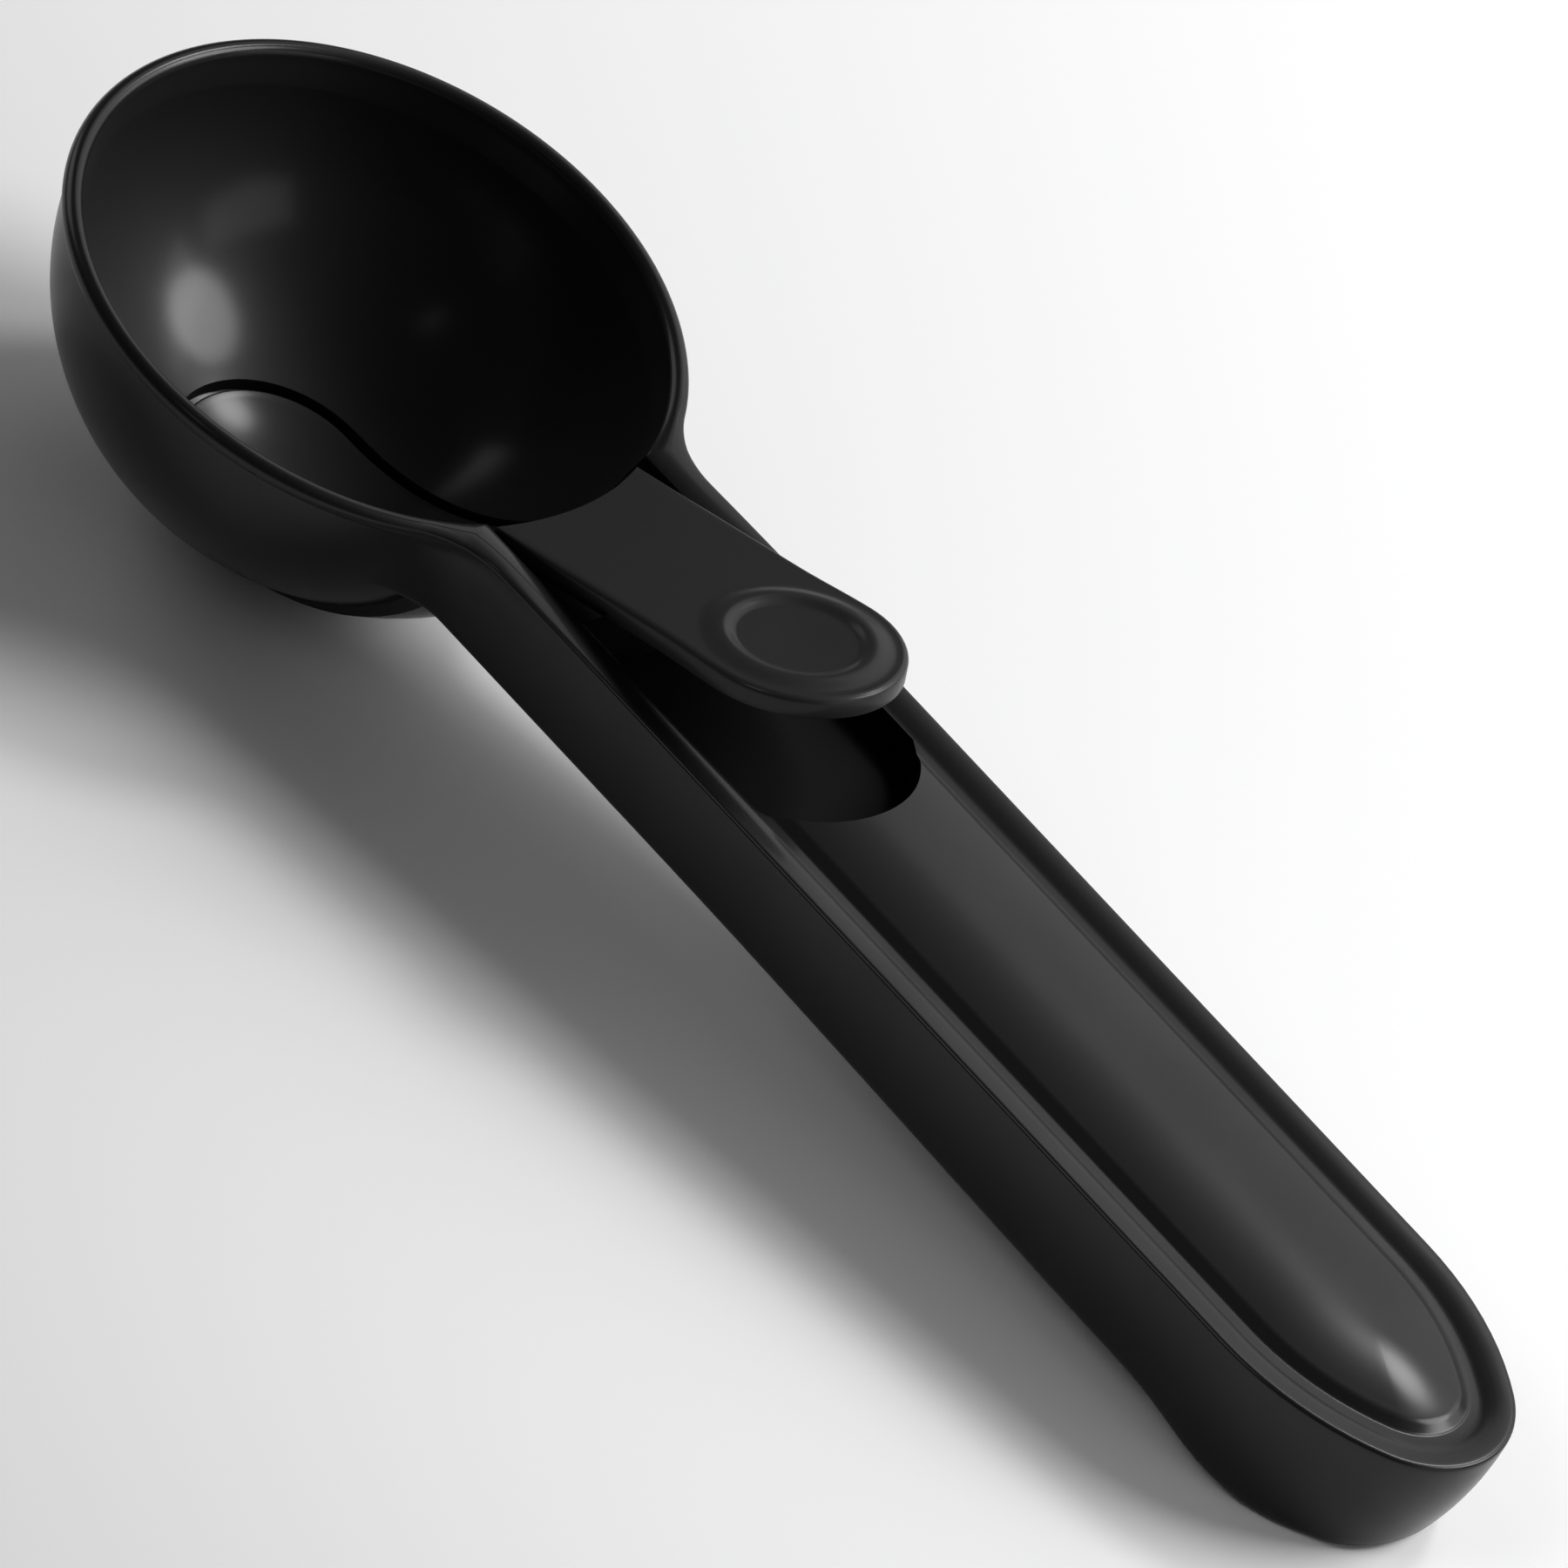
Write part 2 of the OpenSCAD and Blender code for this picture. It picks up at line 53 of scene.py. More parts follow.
bowl = {
    "rimR": 31.7,           # to the outside of the rounded lip
    "lipR": 1.0,            # the lip's round section
    "lipStep": 0.8,         # how far the lip stands out past the side
    "depth": 28.7,
    "wall": 1.7,
    "floor": 2.3,
    "bandH": 3.0,           # flared band inside the lip
    "bandFlare": 0.7,
    "riseFrom": 8.0,        # where the lip starts to climb to the ridges, and where it is up
    "riseTo": 46.0,
}
handle = {
    "halfW": 14.9,
    "ridgeR": 2.0,          # the frame's own ridge, which sets where the scoop lies
    "ridgeZ": 0.7,
    # Corners of the ridge, then of the margin and the panel's edge: distance inwards, height, round
    "ridge": ((0.0, 0.15, 0), (0.0, 0.98, 0.5), (1.4, 0.92, 0.7), (2.45, 0.71, 0.5),
              (3.4, 0.41, 0.28), (3.7, 0.39, 0)),
    "margin": ((3.7, 0.39, 0), (4.65, 0.33, 0.25), (5.75, 1.05, 0.35), (6.2, 1.15, 0)),
    "tipX": 158.5,
    "tipR": 11.4,
    "endLen": 22.5,
    "neckR": 9.6,
    "sideDepth": 9.9,
    "sideTaper": 1.2,
    "heelDrop": 2.3,
    "taperSpan": (0.38, 0.85),
    "heelSpan": (0.81, 0.925),
    "sideDraft": 0.5,
    "endDraft": 2.4,
    "crownRise": 1.0,
    "crownEnd": 5.0,        # how far before the tip's centre the crown's middle line stops
    "wall": 3.0,
    "endBack": 2.0,
    "roofZ": -1.05,
    "ribW": 1.6,
    "ribStep": 15.0,
    "ribSetBack": 2.0,
    "footBack": 8.5,
    "footRaise": 0.2,
    "bottomRound": 0.6,
}
well = {
    "halfW": 11.2,
    "centreX": 60.0,
    "frontR": 12.8,
    "depth": 3.0,
    "wall": 2.0,
    "bayDepth": 8.5,        # deeper bay round the hinge
    "bayLen": 9.5,
    "sill": 4.0,
    "widen": (22.0, 27.0),  # distances from the bowl's middle over which the pocket widens
    "pocketRow": 8,         # row of the bowl's inner face where the pocket's wall starts
}
lever = {
    "slope": 17.8,
    "padT": 2.2,
    "padHalfW": 10.2,
    "endR": 10.6,
    "endX": 55.9,
    "rootZ": -0.35,
    "padEdge": 0.6,
    "ringR": 7.2,           # crest of the raised ring, how far its two slopes run, and its height
    "ringIn": 1.5,
    "ringOut": 2.4,
    "ringH": 0.42,
    "ringField": 9.7,
    "dish": 0.12,
    "edge": 0.25,           # rounds of the arm and the ejector plate
    "armHalfW": 10.0,
    "armT": 1.8,
    "plateT": 1.0,
    "sideGap": 0.9,
    "backGap": 0.45,
    "underGap": 0.3,
    "backWall": 1.05,
    "blend": (8.0, 9.0, 7.0),   # reach of the pad's change in width at root and end, and in round
}
hinge = {
    "x": 35.5,
    "depth": 5.5,
    "pinR": 1.5,
    "hubR": 2.8,
    "hubLen": 5.7,
    "hubGap": 0.3,
    "webW": 2.4,
    "webReach": 7.0,
    "skin": 1.4,
    "flush": 0.08,          # the pin's far end shows in the far cheek
    "bevel": 0.3,           # of the pin and the hubs
    "boreGap": 0.06,
    "webStart": 4.0,        # behind the pad's root
    "webInto": 0.6,         # into the pad
}

# Radii and depths of the half ellipses: the bowl outside and inside, the back of the arm, its
# recess and the wall behind it
outerA = bowl["rimR"] - bowl["lipStep"]
innerA, innerC = outerA - bowl["wall"], bowl["depth"] - bowl["floor"]
armA, armC = innerA + lever["armT"], innerC + lever["plateT"]
recessA, recessC = armA + lever["backGap"], armC + lever["underGap"]
housingA, housingC = recessA + lever["backWall"], bowl["depth"] - 0.1   # just inside the bowl
creaseR = innerA * math.sqrt(1 - (bowl["bandH"] / innerC) ** 2)
bandTopR = creaseR + bowl["bandFlare"]
sideTop = 1.2 * bowl["lipR"]            # the sides start this far below the rim
sideHalf = handle["halfW"]
ledgeW = sideHalf - well["halfW"]       # from the handle's side to the slot
hollowHalf = sideHalf - handle["wall"]
pocketHalf = lever["armHalfW"] + lever["sideGap"]
dishR = lever["ringR"] - lever["ringIn"]
underEdge = 0.6 * lever["edge"]         # round of the lever's lower edges
hingeAxis = np.array([hinge["x"], 0, -hinge["depth"]])
handleMiddle = np.array([100.0, 0, 0])  # faces are turned towards it or away from it

# How the scoop lies: a line under the bowl and through the heel
footX = handle["tipX"] - handle["footBack"]
footZ = -(handle["sideDepth"] + handle["sideTaper"] + handle["heelDrop"] - handle["footRaise"])
restTan = (footX * footZ + math.sqrt((footX * footZ) ** 2 + (footX ** 2 - outerA ** 2)
           * (bowl["depth"] ** 2 - footZ ** 2))) / (footX ** 2 - outerA ** 2)
restTilt = math.atan(restTan)
restHeight = math.hypot(outerA * math.sin(restTilt), bowl["depth"] * math.cos(restTilt))
backReach = (bowl["rimR"] - bowl["lipR"]) * math.cos(restTilt) + bowl["lipR"]
frontReach = ((handle["tipX"] - handle["ridgeR"]) * math.cos(restTilt)
              + handle["ridgeZ"] * math.sin(restTilt) + handle["ridgeR"])
restShift = (backReach - frontReach) / 2
tiltMatrix = np.array(Matrix.Rotation(restTilt, 3, "Y"))


# Level millimetres to metres on the table: turned about Y by the rest tilt, then moved.
def laidDown(points):
    return (np.asarray(points) @ tiltMatrix.T + [restShift, 0, restHeight]) / 1000


# 0 before a, 1 after b, and the smooth step 3u^2 - 2u^3 between.
def ramp(x, a, b):
    u = np.clip((x - a) / (b - a), 0, 1)
    return u * u * (3 - 2 * u)


# Even steps from a towards b, without b.
def span(a, b, count):
    return np.linspace(a, b, count, endpoint=False)


# Even steps from a to b, standing as a column.
def column(a, b, count):
    return np.linspace(a, b, count)[:, None]


# The same, lying as a row.
def row(a, b, count):
    return np.linspace(a, b, count)[None, :]


# Parabola from a to b that the two lines to the corner touch.
def curveCorner(a, corner, b, count):
    t = column(0, 1, count + 1)
    return (1 - t) ** 2 * np.array(a) + 2 * t * (1 - t) * np.array(corner) + t ** 2 * np.array(b)


# x, y and z arrays of one shape, broadcast together, as points.
def join(*columns):
    return np.stack(np.broadcast_arrays(*columns), -1).astype(float)


# The grid with its columns in the order that turns its faces along facing(centre).
def faced(points, facing):
    centre = (points[:-1, :-1] + points[1:, 1:]) / 2
    normal = np.cross(points[1:, 1:] - points[:-1, :-1], points[:-1, 1:] - points[1:, :-1])
    along = (normal * (facing(centre) if callable(facing) else np.array(facing, float))).sum()
    return points if along > 0 else points[:, ::-1]


# A grid and its mirror image in the middle plane.
def bothSides(points):
    return [points, (points * [1, -1, 1])[:, ::-1]]


# New object that holds the data, in the scene.
def newObject(name, data):
    thing = bpy.data.objects.new(name, data)
    scene.collection.objects.link(thing)
    return thing


weldGap = 0.004         # points nearer than this become one


# One mesh from grids of points: quads between neighbours, and doubles merged.
def addMesh(name, grids, weld=weldGap):
    verts, quads, base = [], [], 0
    for points in grids:
        rows, cols = points.shape[:2]
        index = np.arange(rows * cols).reshape(rows, cols) + base
        corners = index[:-1, :-1], index[1:, :-1], index[1:, 1:], index[:-1, 1:]
        quads.append(np.stack(corners, -1).reshape(-1, 4))
        verts.append(points.reshape(-1, 3))
        base += rows * cols
    mesh = bpy.data.meshes.new(name)
    mesh.from_pydata(laidDown(np.concatenate(verts)).tolist(), [], np.concatenate(quads).tolist())
    work = bmesh.new()
    work.from_mesh(mesh)
    bmesh.ops.remove_doubles(work, verts=work.verts, dist=weld / 1000)
    bmesh.ops.dissolve_degenerate(work, edges=work.edges, dist=weld / 4000)
    work.to_mesh(mesh)
    work.free()
    piece = newObject(name, mesh)
    mesh.shade_smooth()
    mesh.set_sharp_from_angle(angle=math.radians(32))   # corners stay crisp
    return piece


# The handle's half outline on the +Y side: q is the distance inwards
bendX = handle["tipX"] - handle["endLen"]
tipCx = handle["tipX"] - handle["tipR"]
bendR = ((tipCx - bendX) ** 2 + sideHalf ** 2 - handle["tipR"] ** 2) / (
    2 * (sideHalf - handle["tipR"]))
bendAngle = math.atan2(tipCx - bendX, bendR - sideHalf)


# Where the neck's fillet is centred so that it touches a bowl of radius r.
def neckCentreX(r):
    return np.sqrt((r + handle["neckR"]) ** 2 - (sideHalf + handle["neckR"]) ** 2)


# Point at share t of the fillet between a bowl of radius r and the handle's side.
def neckLine(t, r):
    cx, cy = neckCentreX(r), sideHalf + handle["neckR"]
    start = math.pi + np.arctan2(cy, cx)
    angle = start + (1.5 * math.pi - start) * t
    return cx + handle["neckR"] * np.cos(angle), cy + handle["neckR"] * np.sin(angle)


# Point at share t of the bend between the straight side and the tip's round, q inside it.
def bendLine(t, q):
    return (bendX + (bendR - q) * np.sin(bendAngle * t),
            sideHalf - bendR + (bendR - q) * np.cos(bendAngle * t))


# Point at share t of the tip's round, from the bend to the middle plane.
def tipLine(t, q):
    angle = (math.pi / 2 - bendAngle) * (1 - t)
    return tipCx + (handle["tipR"] - q) * np.cos(angle), (handle["tipR"] - q) * np.sin(angle)


# Height of the handle's lower edge, with the table's plane as the limit at the heel.
def lowerEdge(x):
    share = x / handle["tipX"]
    low = (handle["sideDepth"] + handle["sideTaper"] * ramp(share, *handle["taperSpan"])
           + handle["heelDrop"] * ramp(share, *handle["heelSpan"]))
    return np.maximum(-low, footZ + (x - footX) * restTan)


# Radius of the bowl's outer half ellipse at height z.
def outerR(z):
    return outerA * np.sqrt(1 - (np.minimum(z, -bowl["lipR"]) / bowl["depth"]) ** 2)


# Rows of distance and height along straight lines, with each inner corner made a parabola that
# starts and ends its round away from the corner.
def softLine(corners, count=5):
    corners = np.array(corners)
    rows = [corners[:1, :2]]
    for before, here, after in zip(corners, corners[1:], corners[2:]):
        ways = [(p - here)[:2] / np.hypot(*(p - here)[:2]) for p in (before, after)]
        start, end = (here[:2] + here[2] * way for way in ways)
        rows.append(curveCorner(start, here[:2], end, count))
    return np.concatenate(rows + [corners[-1:, :2]])


# Half width of the slot: the lever's slot at the lip, the plate's pocket lower down.
def slotHalf(r):
    return pocketHalf + (well["halfW"] - pocketHalf) * ramp(r, *well["widen"])


# Where the well's round front lies at y.
def wellFront(y):
    return well["centreX"] + np.sqrt(well["frontR"] ** 2 - y ** 2)


steps = {"bowl": 88, "corner": 10, "slot": 9, "bay": 9, "well": 14, "side": 46, "bend": 10,
         "tip": 16}
cornerAngle = math.asin(well["halfW"] / bandTopR)
cornerX = bandTopR * math.cos(cornerAngle)
neckAngle = math.atan2(sideHalf + handle["neckR"], neckCentreX(bowl["rimR"]))
neckEndX = float(neckCentreX(bowl["rimR"]))
neckShare = (neckAngle - cornerAngle) / (math.pi - cornerAngle)
bayEndX = hinge["x"] + well["bayLen"]
wellStartX = float(wellFront(well["halfW"]))

# Shares of the way round the bowl, from the back to the corner beside the lever
roundShare = np.append(span(1, neckShare, steps["bowl"]),
                       np.linspace(neckShare, 0, steps["corner"] + 1))
filletShare = np.append(span(0, 0.5, steps["corner"]), span(0.5, 1, steps["slot"]))
sideX = np.append(span(neckEndX, bayEndX, steps["bay"]), span(bayEndX, wellStartX, steps["well"]))
panelX = span(wellStartX, bendX, steps["side"])
bendShare = span(0, 1, steps["bend"])
tipShare = np.linspace(0, 1, steps["tip"] + 1)
ringAngle = cornerAngle + roundShare * (math.pi - cornerAngle)
nBack, nCorner, nNeck, nBay, nWell, nBend = np.cumsum(list(steps.values()))[:6].tolist()
neckN, bayN, wellN, bendN = (n - nBack for n in (nNeck, nBay, nWell, nBend))    # from the neck on


# Half outline through all stations from the neck to the tip, at q inside it, beside a bowl of
# radius r.
def outline(q, r):
    x0, y0 = neckLine(filletShare, r)
    sx = neckCentreX(r) + (sideX - neckEndX) * (bayEndX - neckCentreX(r)) / (bayEndX - neckEndX)
    sx = np.where(sideX > bayEndX, sideX, sx)
    ex, ey = bendLine(bendShare, q)
    tx, ty = tipLine(tipShare, q)
    x = np.concatenate([x0, sx, panelX, ex, tx])
    y = np.concatenate([y0 - q, np.full(len(sideX) + len(panelX), sideHalf - q), ey, ty])
    return x, y


lineX, lineY = outline(0.0, bowl["rimR"])
rimX = np.append(bowl["rimR"] * np.cos(ringAngle[:nBack]), lineX)
rimY = np.append(bowl["rimR"] * np.sin(ringAngle[:nBack]), lineY)
inLineX, inLineY = outline(ledgeW, bowl["rimR"])
inX = np.concatenate([bandTopR * np.cos(ringAngle), span(cornerX, neckEndX, steps["slot"])[1:],
                      inLineX[neckN:]])
inY = np.concatenate([bandTopR * np.sin(ringAngle), np.full(steps["slot"] - 1, well["halfW"]),
                      inLineY[neckN:]])
climb = ramp(rimX, bowl["riseFrom"], bowl["riseTo"])[:, None]


# Lip's round turned into the ridge's section along the way: both are followed row by row, and
# mixed by how far the lip has climbed.
def lipAndRidge():
    ridge = softLine(handle["ridge"])
    lipAngle = np.radians(row(-45, 180, len(ridge)))
    lipAcross, lipZ = (1 - np.cos(lipAngle)) / 2, bowl["lipR"] * np.sin(lipAngle)
    across = (1 - climb) * lipAcross + climb * ridge[:, 0] / ledgeW
    height = (1 - climb) * lipZ + climb * ridge[:, 1]
    x = rimX[:, None] + (inX - rimX)[:, None] * across
    y = rimY[:, None] + (inY - rimY)[:, None] * across
    return join(x, y, height)


# Handle's side from the lip's lower edge down, leaning in by the square of the depth, then round
# the lower edge and in across the bottom of the wall.
def sideWall(lipEdge, rows=12):
    low, r = lowerEdge(lineX), handle["bottomRound"]
    lean = handle["sideDraft"] + (handle["endDraft"] - handle["sideDraft"]) * ramp(
        np.arange(len(lineX)), bendN, len(lineX) - 1)
    layers = []
    for s in np.linspace(0, 1, rows + 1):
        z = -sideTop + (low + r + sideTop) * s
        deep = np.clip((handle["ridgeZ"] - z) / (handle["ridgeZ"] - low), 0, 1)
        layers.append((lean * deep ** 2, z))
    for turn in np.linspace(0, math.pi / 2, 5)[1:]:
        layers.append((lean + r * (1 - np.cos(turn)), low + r * (1 - np.sin(turn))))
    layers.append((lean * 0 + handle["wall"], low))
    grid = [lipEdge] + [join(*outlineAt(q, z), z) for q, z in layers]
    inner = grid[-1]
    inner[:wellN, 1] = hollowHalf
    inner[:wellN, 0] = np.maximum(inner[:, 0], behindArm(inner[:, 1], inner[:, 2]))[:wellN]
    inner[:, 0] -= handle["endBack"] * np.clip((lineX - wellStartX) / (bendX - wellStartX), 0, 1)
    return np.stack(grid, 1)


# Outline with its own distance inwards and height at every station.
def outlineAt(q, z):
    r = outerR(z[:neckN]) - weldGap
    x, y = outline(0.0, bowl["rimR"])
    nx, ny = neckLine(filletShare, r)
    sx = neckCentreX(float(outerR(z[neckN])))
    x[:neckN], y[:neckN] = nx, ny - q[:neckN] * ramp(filletShare, 0, 1)
    bay = slice(neckN, bayN)
    x[bay] = sx + (x[bay] - neckEndX) * (bayEndX - sx) / (bayEndX - neckEndX)
    straight = slice(neckN, bendN)
    y[straight] = sideHalf - q[straight]
    tipN = bendN + steps["bend"]
    bend, tip = slice(bendN, tipN), slice(tipN, None)
    x[bend], y[bend] = bendLine(bendShare, q[bend])
    x[tip], y[tip] = tipLine(tipShare, q[tip])
    return x, y


# Valley, margin and crowned panel: rows run inwards from the slot's line, and every row starts on
# the well's round front.
def panelTop():
    q, z = softLine(handle["margin"]).T
    across = np.linspace(0, 1, 15)[None, 1:]
    along = ((panelX - wellStartX) / (bendX - wellStartX))[:, None]
    start = wellFront(sideHalf - q)
    bx, by = bendLine(bendShare[:, None], q)
    tx, ty = tipLine(tipShare[:, None], q)
    px = np.concatenate([start + (bendX - start) * along, bx, tx])
    py = np.concatenate([sideHalf - q + 0 * along, by, ty])
    endX = tipCx - handle["crownEnd"]
    spine = np.concatenate([0 * panelX, bendX + (endX - bendX) * bendShare, endX + 0 * tipShare])
    cx = px[:, -1:] + (spine[:, None] - px[:, -1:]) * across
    cy = py[:, -1:] * (1 - across)
    straight = len(panelX)
    start = wellFront(cy[:straight])
    cx[:straight] = start + (bendX - start) * along
    crown = join(cx, cy, z[-1] + handle["crownRise"] * (1 - (1 - across) ** 2))
    return np.concatenate([join(px, py, z), crown], 1)


# Bowl's inner face: the flared band, its crease and the half ellipse. Every row is a round on
# polar stations that fan out from the slot's side, so that the grid's edges are the slot, the
# pocket's round end and the back of the bowl.
def bowlInside(lipInner):
    rim = lipInner[:, 2]
    rows = [(bandTopR + (creaseR - bandTopR) * s, rim + (-bowl["bandH"] - rim) * s)
            for s in (0, 0.25, 0.5, 0.75, 0.93, 1)]
    crease = math.acos(bowl["bandH"] / innerC)
    angle = np.linspace(crease - 0.03, math.asin(pocketHalf / innerA), 44)
    angle = np.append(crease - 0.008, angle)   # a close row keeps the crease crisp
    rows += list(zip(innerA * np.sin(angle), -innerC * np.cos(angle)))
    grid = []
    for radius, height in rows:
        side = np.arcsin(min(slotHalf(radius) / radius, 1))
        turn = side + roundShare * (math.pi - side)
        grid.append(join(radius * np.cos(turn), radius * np.sin(turn), height))
    return np.stack(grid, 1)


# The pocket's bottom under points of its edge: straight down round the end, and out along the
# same direction beside the arm.
def pocketBelow(points):
    x, y, z = np.moveaxis(points, -1, 0)
    inner = np.sqrt(1 - (y / innerA) ** 2)
    outer = np.sqrt(1 - (y / recessA) ** 2)
    grow = recessA * outer / (innerA * inner)
    sideways = join(x * grow, y, z * recessC * outer / (innerC * inner))
    below = join(x, y, -recessC * np.sqrt(1 - (x ** 2 + y ** 2) / recessA ** 2))
    return np.where((x > 0)[..., None], sideways, below)


# Strip of a half ellipse of radius a and depth c, from the angle start down to its lowest line.
# At y it is smaller by the root of 1 - (y / a)^2.
def bowlStrip(a, c, y, start, count):
    shrink = np.sqrt(1 - (y / a) ** 2)
    beta = start + (math.pi / 2 - start) * column(0, 1, count)
    return join(a * shrink * np.cos(beta), y, -c * shrink * np.sin(beta))


# Half disc with radii r on the same half ellipse, past the bowl's middle.
def halfDisc(a, c, r, count):
    turn = column(math.pi / 2, math.pi, count)
    return join(r * np.cos(turn), r * np.sin(turn), -c * np.sqrt(1 - (r / a) ** 2))


# How far out a half ellipse of revolution lies at y and z.
def ellipseX(a, c, y, z):
    return np.sqrt(a ** 2 * (1 - (z / c) ** 2) - y ** 2)


# How far out the middle of the wall behind the arm lies at y and z.
def behindArm(y, z):
    return ellipseX((recessA + housingA) / 2, (recessC + housingC) / 2, y, z)


# Sides of the lever's slot, the round front and floor of the well, and the hinge bay.
def slotWalls(top, panel):
    found = []
    # Beside the hinge: from the bowl's inner face to the end of the bay
    edge = top[nCorner:nBay + 1, -1]
    s = row(0, 1, 15)
    z = edge[:, 2:] * (1 - s) - well["bayDepth"] * s
    onBand = bandTopR + (creaseR - bandTopR) * (edge[:1, 2:] - z) / (edge[:1, 2:] + bowl["bandH"])
    below = innerA * np.sqrt(1 - (z / innerC) ** 2)
    inX0 = np.sqrt(np.where(z > -bowl["bandH"], onBand, below) ** 2 - well["halfW"] ** 2)
    x = inX0 + (edge[:, :1] - cornerX) * (neckEndX - inX0) / (neckEndX - cornerX)
    x = np.where(edge[:, :1] > neckEndX, edge[:, :1], x)
    found.append(faced(join(x, well["halfW"], z), (0, -1, 0)))
    # Beside the well, and its round front
    edge = np.concatenate([top[nBay:nWell, -1], panel[0]])
    drop = row(0, 1, 4)
    wall = join(edge[:, :1], edge[:, 1:2], edge[:, 2:] * (1 - drop) - well["depth"] * drop)
    found.append(faced(wall, lambda p: [well["centreX"], 0, 0] - p))
    # Floors
    floorX = bayEndX + (panel[:1, :, 0] - bayEndX) * column(0, 1, 9)
    found.append(faced(join(floorX, panel[:1, :, 1], -well["depth"]), (0, 0, 1)))
    y = row(0, well["halfW"], 9)
    backX = ellipseX(housingA, housingC, y, well["bayDepth"])
    bayX = backX + (bayEndX - backX) * column(0, 1, 5)
    found.append(faced(join(bayX, y, -well["bayDepth"]), (0, 0, 1)))
    found.append(faced(join(bayEndX, y, column(-well["bayDepth"], -well["depth"], 3)), (-1, 0, 0)))
    # Top and front of the wall behind the arm
    ledge = [join(ellipseX(a, c, y[0], well["sill"]), y[0], -well["sill"])
             for a, c in ((recessA, recessC), (housingA, housingC))]
    found.append(faced(np.stack(ledge), (0, 0, 1)))
    z = column(well["sill"], well["bayDepth"], 5)
    found.append(faced(join(ellipseX(housingA, housingC, y, z), y, -z), (1, 0, 0)))
    return found


# Wall behind the arm, standing proud of the bowl outside, with its two sides.
def armHousing():
    y = row(0, well["halfW"] + 2, 11)
    skin = bowlStrip(housingA, housingC, y, math.asin(well["bayDepth"] / housingC), 40)
    edge, sunk = skin[:, -1], 0.985     # the sides end just inside the bowl's skin
    inner = edge * [outerA / housingA * sunk, 1, sunk]
    return [faced(skin, lambda p: p), faced(np.stack([edge, inner], 1), (0, 1, 0))]


# Half width of the hollow underside at x.
def innerHalf(x):
    inset, x = handle["wall"], x + handle["endBack"]
    if x < bendX:
        return hollowHalf
    if x < bendX + bendR * math.sin(bendAngle):
        return sideHalf - bendR + math.sqrt((bendR - inset) ** 2 - (x - bendX) ** 2)
    return math.sqrt((handle["tipR"] - inset) ** 2 - (x - tipCx) ** 2)


# Two hollow fields with ribs under the handle, and the closed floor under the hinge.
def underside(side):
    found, ribs = [], []
    field1, field2 = bayEndX + well["wall"], well["centreX"] + well["frontR"]
    start2 = field2 + well["wall"]
    roof1 = -well["depth"] - well["wall"]
    roof2 = handle["roofZ"]
    y = row(0, hollowHalf, 5)
    low = float(lowerEdge(field1))
    for x0, x1 in ((behindArm(y, low), field1), (field2, start2)):
        x = x0 + (x1 - x0) * column(0, 1, 4)
        found.append(faced(join(x, y, lowerEdge(x)), (0, 0, -1)))
    x = np.linspace(field1, field2, 12)
    low = lowerEdge(x)
    wall = np.stack([join(x, hollowHalf, z) for z in (low, roof1)], 1)
    found.append(faced(wall, (0, -1, 0)))
    found.append(faced(join(x[:, None], y, roof1), (0, 0, -1)))
    for x0, roof, way in ((field1, roof1, 1), (field2, roof1, -1), (start2, roof2, 1)):
        z = column(float(lowerEdge(x0)), roof, 3)
        found.append(faced(join(x0, y, z), (way, 0, 0)))
    path = side[side[:, -1, 0] > start2, -1]
    path = np.append([[start2, hollowHalf, float(lowerEdge(start2))]], path, 0)
    walls = np.stack([path, path * [1, 1, 0] + [0, 0, roof2]], 1)
    found.append(faced(walls, lambda p: handleMiddle - p))
    middle = np.minimum(path[:, :1], tipCx - handle["endBack"])
    share = row(1, 0, 5)
    roof = join(middle + (path[:, :1] - middle) * share, path[:, 1:2] * share, roof2)
    found.append(faced(roof, (0, 0, -1)))
    foot = handle["ribSetBack"] - handle["sideDepth"]
    sideInto, roofInto = 0.3, 0.5       # how far the ribs reach into the sides and roof
    for x0, x1, roof in ((field1, field2, roof1), (start2, float(path[-1, 0]), roof2)):
        ribs += block(x0, x1, -handle["ribW"] / 2, handle["ribW"] / 2, foot, roof + roofInto)
        for x in np.arange(x0 + handle["ribStep"], x1, handle["ribStep"]):
            half = min(innerHalf(x), innerHalf(x - handle["ribW"])) + sideInto
            ribs += block(x - handle["ribW"], x, -half, half, foot, roof + roofInto)
    return found, ribs


# Six faces of a plain web between two x, y and z limits, as grids.
def block(*limits):
    found = []
    for axis in range(3):
        for end, way in ((0, -1), (1, 1)):
            sides = [np.array(limit, float) for limit in zip(limits[::2], limits[1::2])]
            sides[axis] = sides[axis][[end]]
            grid = np.stack(np.meshgrid(*sides, indexing="ij"), -1).take(0, axis)
            found.append(faced(grid, way * np.eye(3)[axis]))
    return found


